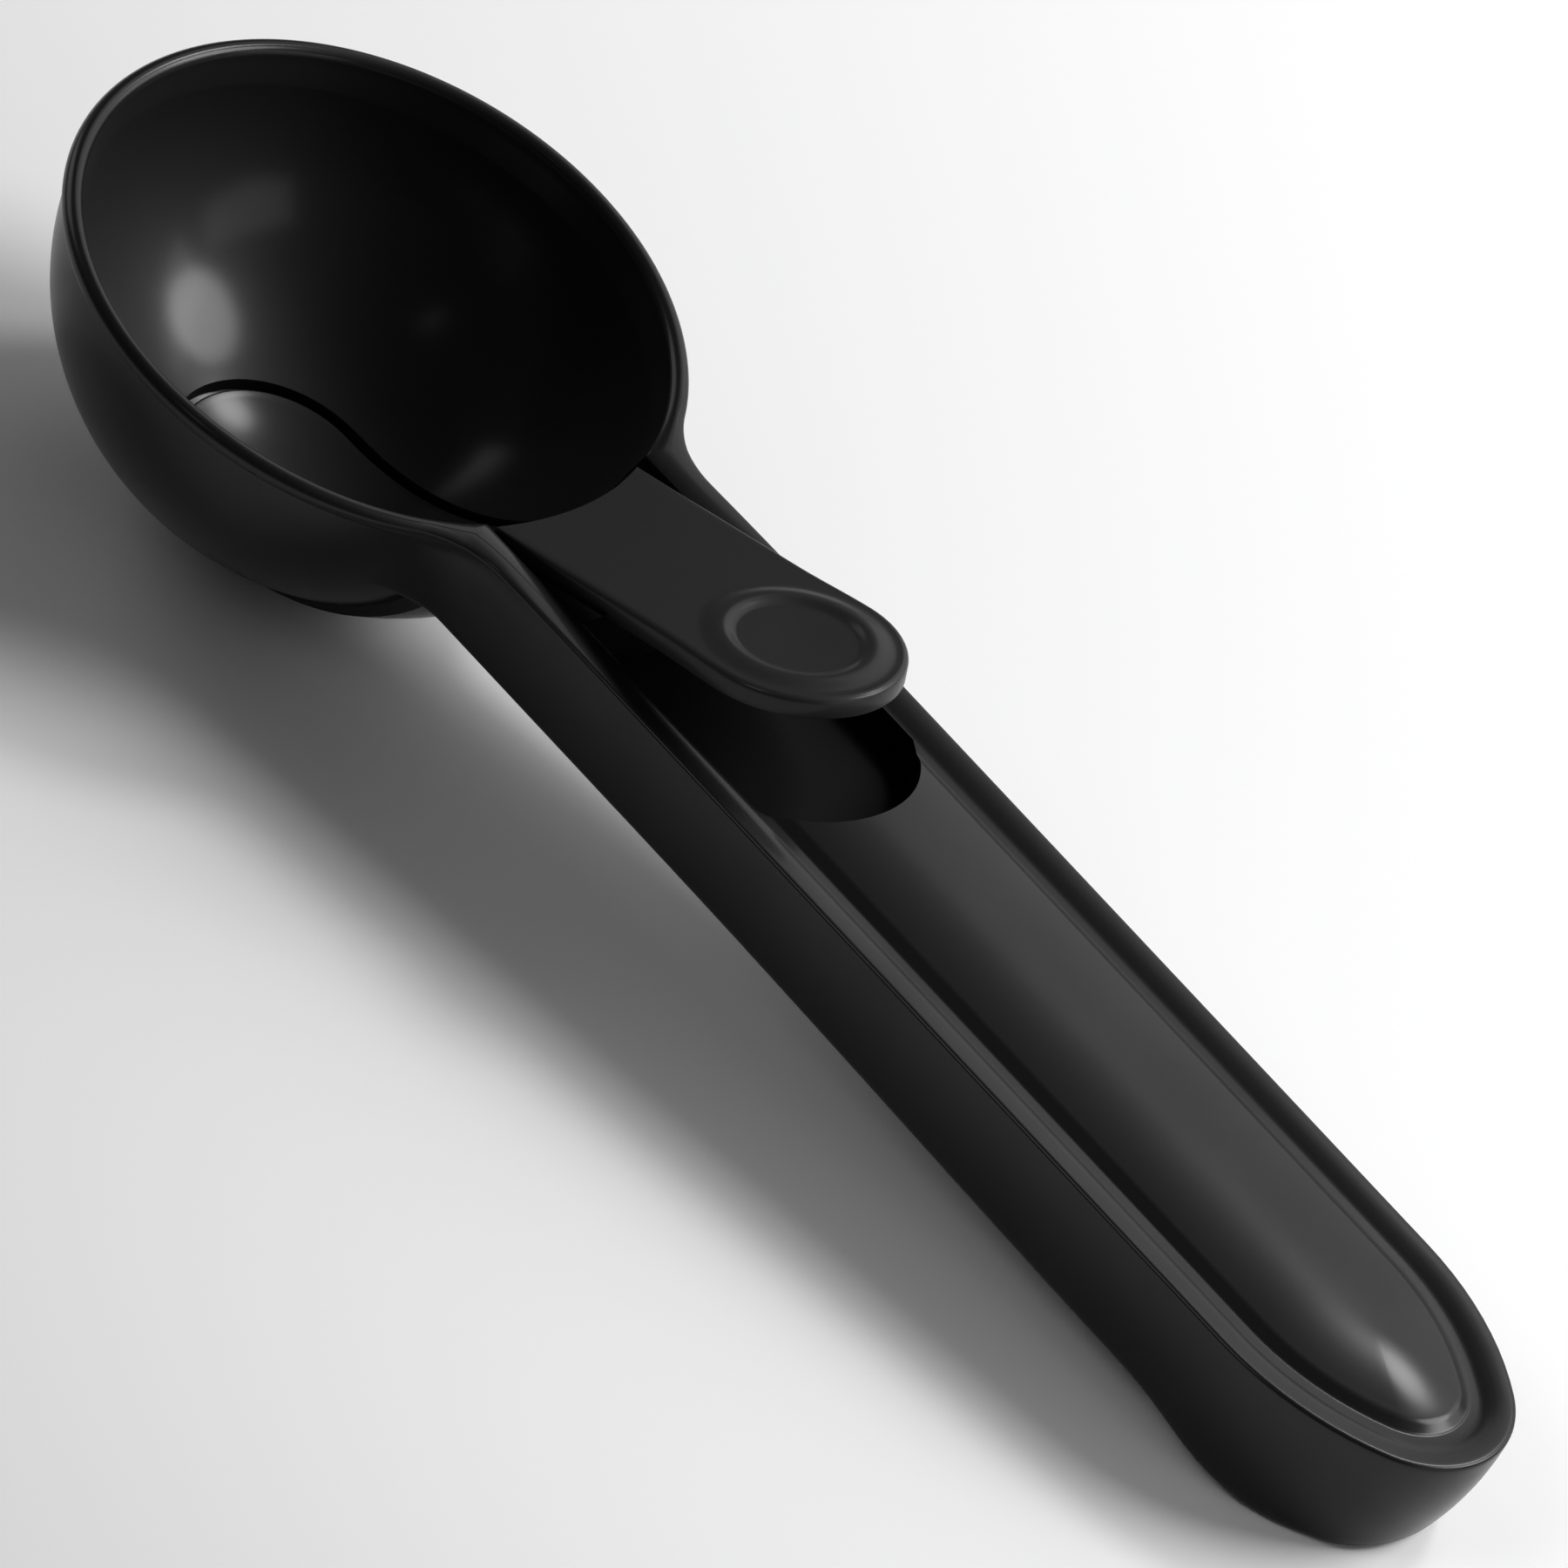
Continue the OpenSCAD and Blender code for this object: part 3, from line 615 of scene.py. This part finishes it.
# The bowl and handle, one moulding.
def buildScoop():
    top = lipAndRidge()
    half = [faced(top, (0, 0, 1))]
    # Bowl outside, and the lip's underside
    turn = np.append(ringAngle[:nBack], np.linspace(neckAngle, 0, 25))[:, None]
    deep = row(0, math.acos(sideTop / bowl["depth"]), 56)
    r = outerA * np.sin(deep)
    outside = join(r * np.cos(turn), r * np.sin(turn), -bowl["depth"] * np.cos(deep))
    under = np.stack([outside[:nBack + 1, -1], top[:nBack + 1, 0]], 1)
    half += [faced(outside, lambda p: p), faced(under, (0, 0, -1))]
    # Handle's side and bottom edge, and the panel
    side, panel = sideWall(top[nBack:, 0]), panelTop()
    half += [faced(side, lambda p: p - handleMiddle), faced(panel, (0, 0, 1))]
    # Bowl inside and the pocket for the arm and plate
    inside = bowlInside(top[:nCorner + 1, -1])
    edge = np.concatenate([inside[-1, well["pocketRow"]:], inside[::-1, -1][1:]])
    low = pocketBelow(edge)
    wall = np.stack([edge, edge * 0.8 + low * 0.2, low], 1)
    y = row(0, pocketHalf + 0.15, 9)    # a little past the pocket's walls
    strip = bowlStrip(recessA, recessC, y, math.asin(well["sill"] / recessC), 34)
    disc = halfDisc(recessA, recessC, y, 19)

    # Towards the middle plane beside the arm, and towards the bowl's axis round the end
    def inwards(p):
        return np.where(p[..., :1] > 0, [0, -1.0, 0], [-1.0, -1.0, 0] * np.sign(p))
    half += [faced(inside, lambda p: -p), faced(wall, inwards)]
    half += [faced(part, lambda p: -p) for part in (strip, disc)]
    half += slotWalls(top, panel) + armHousing()
    hollow, ribs = underside(side)
    half += hollow
    return [grid for part in half for grid in bothSides(part)] + ribs


scoop = addMesh("scoopShell", buildScoop())
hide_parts("scoop_body")
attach(scoop, "scoop")
print("Scoop shell built:", len(scoop.data.polygons), "faces")

padAngle = math.radians(lever["slope"])
padCos, padSin = math.cos(padAngle), math.sin(padAngle)
rootX = (math.sqrt(creaseR ** 2 - lever["armHalfW"] ** 2)
         + bowl["bandFlare"] * lever["armHalfW"] / creaseR)
padRun = (lever["endX"] - rootX) / padCos
armCols, lowCols = 14, 8        # columns across half of the arm's inner face and of its back


# Point of the pad's own plane: u up the slope, v across and w out of it.
def onPad(u, v, w):
    return join(rootX + u * padCos - w * padSin, v, lever["rootZ"] + u * padSin + w * padCos)


# Radius of the flared band inside the lip, a cone that widens upwards.
def bandR(z):
    return bandTopR + bowl["bandFlare"] * z / bowl["bandH"]


# Height of the pad's top over x, or of its underside, in the middle plane's view.
def padLine(x, under):
    return lever["rootZ"] + (x - rootX) * padSin / padCos - under * lever["padT"] / padCos


# Where the pad's top meets the bowl's round inner face, or its underside the arm's back: a few
# rounds of z from x and x from z.
def rootLine(y, under=False):
    x = np.full(np.shape(y), rootX)
    for _ in range(8):
        z = padLine(x, under)
        x = ellipseX(armA, armC, y, z) if under else np.sqrt(bandR(z) ** 2 - y ** 2)
    return x, z


# Distance up the pad's slope of a point in the middle plane's view.
def alongPad(x, z):
    return (x - rootX) * padCos + (z - lever["rootZ"]) * padSin


# Raised ring as a squared cosine on each side of its crest, and the shallow dish inside.
def ringHeight(rho):
    reach = np.where(rho < lever["ringR"], lever["ringIn"], lever["ringOut"])
    off = np.clip(np.abs(rho - lever["ringR"]) / reach, 0, 1)
    dish = np.clip(1 - (rho / dishR) ** 2, 0, 1) ** 2
    return lever["ringH"] * np.cos(off * math.pi / 2) ** 2 - lever["dish"] * dish


# Insets and depths round an edge: a quarter round of radius r, the side, and a small one.
def edgeProfile(r, thick):
    turn = np.radians([0, 22.5, 45, 67.5, 90])[:, None]
    back = np.radians([0, 45, 90])[:, None]
    inset = np.concatenate([r * (1 - np.sin(turn)), underEdge * (1 - np.cos(back)) + 0 * r])
    depth = np.concatenate([r * (1 - np.cos(turn)), thick - underEdge * (1 - np.sin(back)) + 0 * r])
    return inset, depth


# Thumb pad: a polar grid round the ring's middle, ruled out to the outline, its rounded edge, and
# its flat underside.
def buildPad():
    half, run, e = lever["armHalfW"], padRun, lever["edge"]
    rootBlend, endBlend, roundBlend = lever["blend"]
    corner = float(alongPad(*rootLine(half)))
    turn, share = span(0, math.pi / 2, 36), np.linspace(1, 0, 29)
    u = corner + (run - corner) * share
    v = lever["padHalfW"] + (lever["endR"] - lever["padHalfW"]) * ramp(u, run - endBlend, run) - (
        lever["padHalfW"] - half) * (1 - ramp(u, corner, corner + rootBlend))
    outU = np.append(run + lever["endR"] * np.cos(turn), u)
    outV = np.append(lever["endR"] * np.sin(turn), v)
    wayU, wayV = np.append(np.cos(turn), 0 * u), np.append(np.sin(turn), 0 * u + 1)
    r = np.append(0 * turn + lever["padEdge"],
                  e + (lever["padEdge"] - e) * ramp(u, corner, corner + roundBlend))[None, :]
    # Underside stations run back to the arm's back face instead of the bowl's face
    n = len(turn)
    backCorner = float(alongPad(*rootLine(half, True)))
    lowU = np.append(outU[:n], backCorner + (run - backCorner) * share)
    inset, depth = edgeProfile(r, lever["padT"])
    mix = depth / lever["padT"]
    edgeU = outU + (lowU - outU) * mix - inset * wayU
    edgeV = outV - inset * wayV
    rim = onPad(edgeU, edgeV, -depth)
    # Top face
    rootV = np.linspace(half - e, 0, armCols + 1)[1:]
    rootU = alongPad(*rootLine(rootV))
    rimU, rimV = np.append(edgeU[0], rootU), np.append(edgeV[0], rootV)
    rimU[len(outU) - 1] = alongPad(*rootLine(half - e))
    rim[0, -1] = onPad(rimU[len(outU) - 1], half - e, 0)
    way = np.arctan2(rimV, rimU - run)
    field = lever["ringField"]
    rho = np.append(span(0, dishR, 8), span(dishR, field, 30))[:, None]
    disc = onPad(run + rho * np.cos(way), rho * np.sin(way), ringHeight(rho) + 0 * way)
    s = column(0, 1, 9)
    startU, startV = run + field * np.cos(way), field * np.sin(way)
    outer = onPad(startU + (rimU - startU) * s, startV + (rimV - startV) * s, 0)
    top = np.concatenate([disc, outer])
    # Underside, towards a line in the middle
    across = column(1, 0, lowCols + 1)
    backU = alongPad(*rootLine((half - underEdge) * across, True))
    flatU = np.concatenate([run + (edgeU[-1, :n] - run) * across, backU + (run - backU) * share], 1)
    flat = onPad(flatU, edgeV[-1] * across, -lever["padT"])
    up, middle = np.array([-padSin, 0, padCos]), onPad(run * 0.6, 0, -1)
    parts = [faced(top, up), faced(rim, lambda p: (p - middle) * [0.4, 1, 0.4]), faced(flat, -up)]
    return parts, rim[:, -1]


# Face of the arm from the pad down the back of the bowl to its lowest line: the flared band
# first, then a half ellipse.
def armFace(a, c, y, under):
    z0 = rootLine(y, under)[1]
    z = z0 + (-bowl["bandH"] - z0) * span(0, 1, 5)[:, None]
    top = join(ellipseX(a, c, y, z) if under else np.sqrt(bandR(z) ** 2 - y ** 2), y, z)
    start = np.arcsin(bowl["bandH"] / (c * np.sqrt(1 - (y / a) ** 2)))
    return np.concatenate([top, bowlStrip(a, c, y, start, 40)])


# Arm and ejector plate: rows go across the inner face, round the edge and back across the outer
# one. Each point is a mix of the two faces.
def buildArm(rootEdge):
    half, e = lever["armHalfW"], lever["edge"]
    inset, depth = edgeProfile(np.array([[e]]), lever["plateT"])
    y = np.concatenate([np.linspace(0, half - e, armCols + 1)[:-1], half - inset[:, 0],
                        np.linspace(half - underEdge, 0, lowCols + 1)[1:]])[None, :]
    mix = depth[:, 0] / lever["plateT"]
    w = np.concatenate([np.zeros(armCols), mix, np.ones(lowCols)])[:, None]
    strip = armFace(innerA, innerC, y, False) * (1 - w) + armFace(armA, armC, y, True) * w
    strip[0, armCols:armCols + len(rootEdge)] = rootEdge
    plate = halfDisc(innerA, innerC, y, 25) * (1 - w) + halfDisc(armA, armC, y, 25) * w

    # Towards the bowl's middle on the inner face, away from it on the outer one
    def away(p):
        return p * np.where(np.arange(p.shape[1]) < armCols + 3, -1.0, 1.0)[:, None]
    return [faced(strip, away), faced(plate, away)]


# Profile of (y, radius) pairs turned about the hinge's axis.
def turned(profile, count=40):
    y, r = np.array(profile).T
    turn = column(0, 2 * math.pi, count + 1)
    grid = join(r * np.cos(turn), y, r * np.sin(turn)) + hingeAxis
    grid[-1] = grid[0]
    return grid


# Two webs under the pad with a bored hub each.
def buildHubs():
    outY, r, c = well["halfW"] - hinge["hubGap"], hinge["hubR"], hinge["bevel"]
    inY, bore = outY - hinge["hubLen"], hinge["pinR"] + hinge["boreGap"]
    hub = turned([(inY, bore), (inY, r - c), (inY + c, r), (outY - c, r), (outY, r - c),
                  (outY, bore), (inY, bore)])

    # Away from the hub's middle, but towards its axis in the bore
    def hubWay(p):
        off = p - hingeAxis
        inBore = np.linalg.norm(off[..., [0, 2]], axis=-1)[..., None] <= bore + 0.01
        return np.where(inBore, -off, off - [0, (inY + outY) / 2, 0])
    found = [faced(hub, hubWay)]
    # Web outline: round the hub below, then straight up to the pad's underside
    sides = []
    for end, x in ((8, hinge["x"] + hinge["webReach"]), (-188, rootX + hinge["webStart"])):
        turn = np.radians(np.linspace(-90, end, 9))
        arc = np.stack([hinge["x"] + r * np.cos(turn), -hinge["depth"] + r * np.sin(turn)], 1)
        sides.append(np.append(arc, [[x, padLine(x, True) + hinge["webInto"]]], 0))
    right, left = sides
    y0, y1 = outY - hinge["webW"], outY - 0.02  # a hair inside the hub's end
    share = row(0, 1, 3)[..., None]
    for y, way in ((y0, -1), (y1, 1)):
        flat = left[:, None] * (1 - share) + right[:, None] * share
        found.append(faced(join(flat[..., 0], y, flat[..., 1]), (0, way, 0)))
    loop = np.concatenate([right[::-1], left[1:]])
    wall = np.stack([join(loop[:, 0], y, loop[:, 1]) for y in (y0, y1)], 1)
    found.append(faced(wall, lambda p: p - hingeAxis - [0, 0, 2]))
    return found


pad, rootEdge = buildPad()
halves = pad + buildArm(rootEdge) + buildHubs()
thumbLever = addMesh("thumbLever", [grid for part in halves for grid in bothSides(part)])
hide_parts("thumb_lever")
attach(thumbLever, "lever")
print("Thumb lever built:", len(thumbLever.data.polygons), "faces")


# Straight steel pin, its two ends with a rounded bevel.
def buildPin():
    near, far = hinge["skin"] - sideHalf, sideHalf - hinge["flush"]
    r, b = hinge["pinR"], hinge["bevel"]
    turn = np.radians(np.linspace(0, 90, 5))
    inset, radius = b * (1 - np.sin(turn)), r - b * (1 - np.cos(turn))
    y = np.concatenate([[near, near], near + inset[::-1], far - inset, [far, far]])
    radii = np.concatenate([[0, (r - b) / 2], radius[::-1], radius, [(r - b) / 2, 0]])
    return faced(turned(np.stack([y, radii], 1)), lambda p: p - hingeAxis)


pinPiece = addMesh("hingePin", [buildPin()], 0.001)
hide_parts("pivot_pin")
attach(pinPiece, "scoop")

spring = {
    "wireR": 0.4,
    "coilR": 2.3,
    "pitch": 1.25,
    "turns": 4,
    "legAngle": 26.0,
    "legUpper": 15.6,
    "legLower": 7.6,
    "dome": (0.06, 0.16),   # the ends' rings: how far in, and their share of the radius
    "domeR": (0.55, 0.85),
    "swing": (-0.4, 0.8),   # heights over the coil between which the wire starts to swing
}


# Round wire along its middle line: a straight leg, the coil, and the leg under the pad.
def buildSpring():
    sweep = 360 * spring["turns"] + 180 - spring["legAngle"]
    halfLen = spring["pitch"] * sweep / 720
    t = np.linspace(0, 1, 150)
    angle = np.radians(270 - sweep * t)
    r = spring["coilR"]
    coil = join(r * np.cos(angle), halfLen * (2 * t - 1), r * np.sin(angle))
    lean = math.radians(spring["legAngle"])
    lower = coil[0] + np.linspace(spring["legLower"], 0, 9)[:-1, None] * [1, 0, 0]
    upper = np.array([math.cos(lean), 0, math.sin(lean)]) * column(0, spring["legUpper"], 17)[1:]
    path = np.concatenate([lower, coil, coil[-1] + upper])
    along = np.gradient(path, axis=0)
    along /= np.linalg.norm(along, axis=1)[:, None]
    out = np.stack([along[:, 2], 0 * along[:, 0], -along[:, 0]], 1)
    out /= np.linalg.norm(out, axis=1)[:, None]
    # Three rings at each end close to a small dome
    last = len(path) - 1
    rings = np.r_[0, 0, 0:last, last, last, last]
    path, out, side = path[rings], out[rings], np.cross(along, out)[rings]
    inwards, share = np.array([0, *spring["dome"]])[:, None], np.array([0, *spring["domeR"]])
    path[:3] += along[0] * inwards
    path[-3:] -= along[-1] * inwards[::-1]
    size = np.full(len(path), spring["wireR"])
    size[:3] *= share
    size[-3:] *= share[::-1]
    turn = np.linspace(0, 2 * math.pi, 15)[:, None]
    tube = size[:, None, None] * (np.cos(turn) * out[:, None] + np.sin(turn) * side[:, None])
    tube[:, -1] = tube[:, 0]
    centre = path[:, None] + hingeAxis
    return faced(centre + tube, lambda p: p - (centre[:-1] + centre[1:]) / 2)


springPiece = addMesh("returnSpring", [buildSpring()], 0.001)
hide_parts("return_spring")
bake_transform(springPiece)
print("Pin and spring built")

# Camera where the photograph's was: looking down at the rim, the picture rolled
view = {
    "azimuth": 25.0,
    "elevation": 40.0,
    "roll": 30.18,
    "target": (62.2, 0.0, -5.1),
    "distance": 3000.0,
    "width": 146.3,         # what the picture spans at the target
    "sensor": 36.0,
}


# Level axes from the azimuth, elevation and roll, tilted with the scoop. The lens is the sensor
# times the distance over the width.
def placeCamera():
    a, e, roll = (math.radians(view[k]) for k in ("azimuth", "elevation", "roll"))
    right = np.array([math.cos(a), math.sin(a), 0])
    up = np.array([-math.sin(a) * math.sin(e), math.cos(a) * math.sin(e), math.cos(e)])
    back = np.array([math.sin(a) * math.cos(e), -math.cos(a) * math.cos(e), math.sin(e)])
    axes = tiltMatrix @ np.stack([math.cos(roll) * right + math.sin(roll) * up,
                                  math.cos(roll) * up - math.sin(roll) * right, back], 1)
    place = laidDown(np.array(view["target"]) + view["distance"] * back)
    lens = bpy.data.cameras.new("productCamera")
    lens.sensor_width = view["sensor"]
    lens.lens = view["sensor"] * view["distance"] / view["width"]
    lens.clip_end = 20      # metres
    camera = newObject("productCamera", lens)
    camera.matrix_world = Matrix.Translation(Vector(place)) @ Matrix(axes.tolist()).to_4x4()
    scene.camera = camera


placeCamera()

# Lamps: the point of the scoop that each is aimed at (level millimetres), the way it stands
# from there, how far and how large in metres, its radiance, and its grid's angle in degrees
lamps = {
    "mainBox": ((-12, -4, -20), (0.48, 0.53, 0.70), 0.9, (0.44, 0.44), 10.0, 0),
    "plateBox": ((-9, 3, -25), (0.03, 0.62, 0.78), 0.8, (0.175, 0.175), 19.0, 0),
    "backWall": ((60, 0, 0), (-0.20, 0.88, 0.45), 0.75, (0.60, 0.58), 0.88, 0),
    "rightWall": ((0, 0, 0), (0.50, 0.72, 0.48), 0.8, (0.52, 0.34), 2.4, 0),
    "endWall": ((0, 0, 0), (0.92, 0.08, 0.38), 0.8, (0.50, 0.34), 1.2, 0),
    "leftCard": ((0, 0, 0), (-0.95, 0.10, 0.35), 0.8, (0.40, 0.40), 1.4, 0),
    "gridBox": ((130, -14, 2), (-0.324, -0.64, 0.69), 0.25, (0.17, 0.15), 3.8, 36),
}


# Power is radiance times pi and the area, less what a grid keeps back. A box is round and a wall
# or card has corners.
def placeLamps():
    for name, (at, way, far, size, glow, grid) in lamps.items():
        light = bpy.data.lights.new(name, "AREA")
        light.size, light.size_y = size
        isBox = name.endswith("Box")
        light.shape = "ELLIPSE" if isBox else "RECTANGLE"
        area = light.size * light.size_y * (math.pi / 4 if isBox else 1)
        light.energy = glow * math.pi * area
        if grid:
            half = math.radians(grid) / 2
            light.spread = 2 * half
            light.energy *= 1 - half / math.tan(half)
        holder = newObject(name, light)
        way = Vector(tiltMatrix @ np.array(way)).normalized()
        holder.location = Vector(laidDown(at)) + way * far
        holder.rotation_euler = way.to_track_quat("Z", "Y").to_euler()
        holder.visible_camera = False


placeLamps()
print("Camera and lamps placed")


# New material with values on its shader's own sockets.
def newMaterial(name, values):
    material = bpy.data.materials.new(name)
    material.use_nodes = True
    nodes, links = material.node_tree.nodes, material.node_tree.links
    shader = nodes["Principled BSDF"]
    for socket, value in values.items():
        shader.inputs[socket].default_value = value
    return material, nodes, links, shader


# Table and studio, in metres
table = {
    "half": 3.0,
    "below": 0.0002,
    "paper": {"Base Color": (0.93, 0.93, 0.93, 1), "Roughness": 0.9, "Specular IOR Level": 0.0},
    "studio": {"Color": (1, 1, 1, 1), "Strength": 0.07},
}
corners = [(x * table["half"], y * table["half"], -table["below"])
           for x, y in ((-1, -1), (1, -1), (1, 1), (-1, 1))]
floorMesh = bpy.data.meshes.new("tableTop")
floorMesh.from_pydata(corners, [], [(0, 1, 2, 3)])
floorMesh.materials.append(newMaterial("paleTable", table["paper"])[0])
tableTop = newObject("tableTop", floorMesh)

world = bpy.data.worlds.new("studio")
scene.world = world
world.use_nodes = True
for socket, value in table["studio"].items():
    world.node_tree.nodes["Background"].inputs[socket].default_value = value
scene.view_settings.view_transform = "Standard"

# Black plastic: a rough body under a smoother skin. Specular level, roughness and skin of each
# surface, the skin's own roughness and the height of the moulded grain in metres
plastic = {
    "colour": (0.0040, 0.0040, 0.0045, 1),
    "index": 1.4,
    "grain": 2600,          # noise scales per metre
    "smudge": 70,
    "body": {"gloss": 0.14, "rough": 0.50, "skin": 0.58, "skinRough": 0.20, "height": 0.000015},
    "bowl": {"gloss": 0.40, "rough": 0.60, "skin": 0.58, "skinRough": 0.20, "height": 0.000015},
    # Well and hinge bay: specular level and skin turned nearly off so the recess stays dark, which
    # is painted shade; the deeper grain is real
    "well": {"gloss": 0.05, "rough": 0.62, "skin": 0.03, "skinRough": 0.30, "height": 0.000025},
    "lever": {"gloss": 0.40, "rough": 0.60, "skin": 0.58, "skinRough": 0.20, "height": 0.00003},
    "padSkin": 0.36,        # less skin on the thumb pad
    "padBlend": 0.006,      # metres
    "wear": ((0.3, 0.7), (1.05, 0.94)),  # smudge levels and the share of the skin there
    "uneven": (-0.04, 0.05),         # what the smudges add to the roughness
    "scratch": (350, 5200, 5200),    # fine scratches along the handle
    "scratchLevel": (0.60, 0.70),
    "scratchPatch": ((0.45, 0.62), (0, 0.16)),  # smudge levels and how much skin they take there
    "bump": 0.25,
}


# Noise of one scale per metre, or of three that draw it out along an axis.
def noiseFrom(nodes, links, source, scale, detail):
    if isinstance(scale, tuple):
        longer = nodes.new("ShaderNodeMapping")
        longer.inputs["Scale"].default_value = scale
        links.new(source, longer.inputs["Vector"])
        source, scale = longer.outputs["Vector"], 1
    noise = nodes.new("ShaderNodeTexNoise")
    noise.inputs["Scale"].default_value = scale
    noise.inputs["Detail"].default_value = detail
    links.new(source, noise.inputs["Vector"])
    return noise.outputs["Fac"]


# Straight line from two levels to two values, held level outside them.
def mapped(nodes, links, source, levels, values):
    node = nodes.new("ShaderNodeMapRange")
    for key, value in zip(("From Min", "From Max", "To Min", "To Max"), (*levels, *values)):
        node.inputs[key].default_value = value
    links.new(source, node.inputs["Value"])
    return node.outputs["Result"]


# First and second joined by the operation. A whole number is set, an output linked.
def combined(nodes, links, operation, first, second):
    node = nodes.new("ShaderNodeMath")
    node.operation = operation
    for socket, value in zip(node.inputs, (first, second)):
        if isinstance(value, int):
            socket.default_value = value
        else:
            links.new(value, socket)
    return node.outputs["Value"]


# Low relief on the shader from a noise's level.
def bumpFrom(nodes, links, source, shader, strength, height):
    bump = nodes.new("ShaderNodeBump")
    bump.inputs["Strength"].default_value = strength
    bump.inputs["Distance"].default_value = height
    links.new(source, bump.inputs["Height"])
    links.new(bump.outputs["Normal"], shader.inputs["Normal"])


# Plastic of one kind. Its skin is what soft smudges leave times what patches of scratches leave,
# and past padFrom along X times the pad's share.
def blackPlastic(name, kind, padFrom=None):
    look = plastic[kind]
    material, nodes, links, shader = newMaterial(name, {
        "Base Color": plastic["colour"], "IOR": plastic["index"], "Coat IOR": plastic["index"],
        "Specular IOR Level": look["gloss"], "Coat Roughness": look["skinRough"]})
    place = nodes.new("ShaderNodeTexCoord").outputs["Object"]
    smudge = noiseFrom(nodes, links, place, plastic["smudge"], 4)
    levels, left = plastic["wear"]
    worn = mapped(nodes, links, smudge, levels, [look["skin"] * share for share in left])
    if padFrom:
        split = nodes.new("ShaderNodeSeparateXYZ")
        links.new(place, split.inputs["Vector"])
        less = mapped(nodes, links, split.outputs["X"], (padFrom - plastic["padBlend"], padFrom),
                      (1, plastic["padSkin"] / look["skin"]))
        worn = combined(nodes, links, "MULTIPLY", worn, less)
    fine = noiseFrom(nodes, links, place, plastic["scratch"], 1)
    lines = mapped(nodes, links, fine, plastic["scratchLevel"], (0, 1))
    patches = mapped(nodes, links, smudge, *plastic["scratchPatch"])
    taken = combined(nodes, links, "MULTIPLY", lines, patches)
    kept = combined(nodes, links, "SUBTRACT", 1, taken)
    links.new(combined(nodes, links, "MULTIPLY", worn, kept), shader.inputs["Coat Weight"])
    rough = [look["rough"] + more for more in plastic["uneven"]]
    links.new(mapped(nodes, links, smudge, levels, rough), shader.inputs["Roughness"])
    grain = noiseFrom(nodes, links, place, plastic["grain"], 2)
    bumpFrom(nodes, links, grain, shader, plastic["bump"], look["height"])
    return material


padFrom = float(laidDown([rootX - 1, 0, 0])[0])
# The third, for the well and hinge bay, is painted shade: its reflection is turned nearly off so
# the recess reads dark
scoopPlastic = [blackPlastic("blackPlasticBody", "body"), blackPlastic("satinPlasticBowl", "bowl"),
                blackPlastic("texturedPlasticWellPaintedShade", "well")]
leverPlastic = blackPlastic("satinPlasticLever", "lever", padFrom)


# Body's faces by the place of their centres: 1 inside the bowl's half ellipse, 2 inside the
# lever's well and hinge bay, whose plastic paints shade into the recess, or else 0.
def shareOut(piece):
    mesh = piece.data
    centre = np.empty(len(mesh.polygons) * 3)
    mesh.polygons.foreach_get("center", centre)
    x, y, z = ((centre.reshape(-1, 3) * 1000 - [restShift, 0, restHeight]) @ tiltMatrix).T
    skin, hair = (0.6, 0.9), 0.01       # out past the inner face, and past the well
    inBowl = (x ** 2 + y ** 2) / (innerA + skin[0]) ** 2 + (z / (innerC + skin[1])) ** 2 < 1
    inWell = ((np.abs(y) < well["halfW"] + hair) & (x > bandTopR) & (z < -0.1)
              & (x < well["centreX"] + well["frontR"]) & (z > -well["bayDepth"] - hair))
    kind = np.where(inBowl, 1, np.where(inWell, 2, 0))
    mesh.polygons.foreach_set("material_index", kind.astype(np.int32))
    mesh.update()


steel = {
    "drawnSteelPin": {"colour": (0.38, 0.38, 0.39, 1), "rough": 0.34, "line": (5000, 300, 5000)},
    "darkSteelSpring": {"colour": (0.16, 0.16, 0.17, 1), "rough": 0.36, "line": (3000,) * 3},
    "drawn": ((0.3, 0.7), (-0.06, 0.08)),   # line levels and what they add to the roughness
    "stain": 400,
    "dull": ((0.45, 0.7), (0, 0.12)),       # stain levels and what they add
    "relief": (0.3, 0.00001),
}


# Steel whose roughness is the sum of its own, of fine lines drawn out along the axis where the
# scale is small, and of soft stains.
def brushedSteel(name):
    look, (levels, more) = steel[name], steel["drawn"]
    values = {"Base Color": look["colour"], "Metallic": 1}
    material, nodes, links, shader = newMaterial(name, values)
    place = nodes.new("ShaderNodeTexCoord").outputs["Object"]
    lines = noiseFrom(nodes, links, place, look["line"], 3)
    drawn = mapped(nodes, links, lines, levels, [look["rough"] + value for value in more])
    dull = mapped(nodes, links, noiseFrom(nodes, links, place, steel["stain"], 3), *steel["dull"])
    links.new(combined(nodes, links, "ADD", drawn, dull), shader.inputs["Roughness"])
    bumpFrom(nodes, links, lines, shader, *steel["relief"])
    return material


for piece, materials in ((scoop, scoopPlastic), (thumbLever, [leverPlastic]),
                         (pinPiece, [brushedSteel("drawnSteelPin")]),
                         (springPiece, [brushedSteel("darkSteelSpring")])):
    for material in materials:
        piece.data.materials.append(material)
shareOut(scoop)
print("Materials put on")
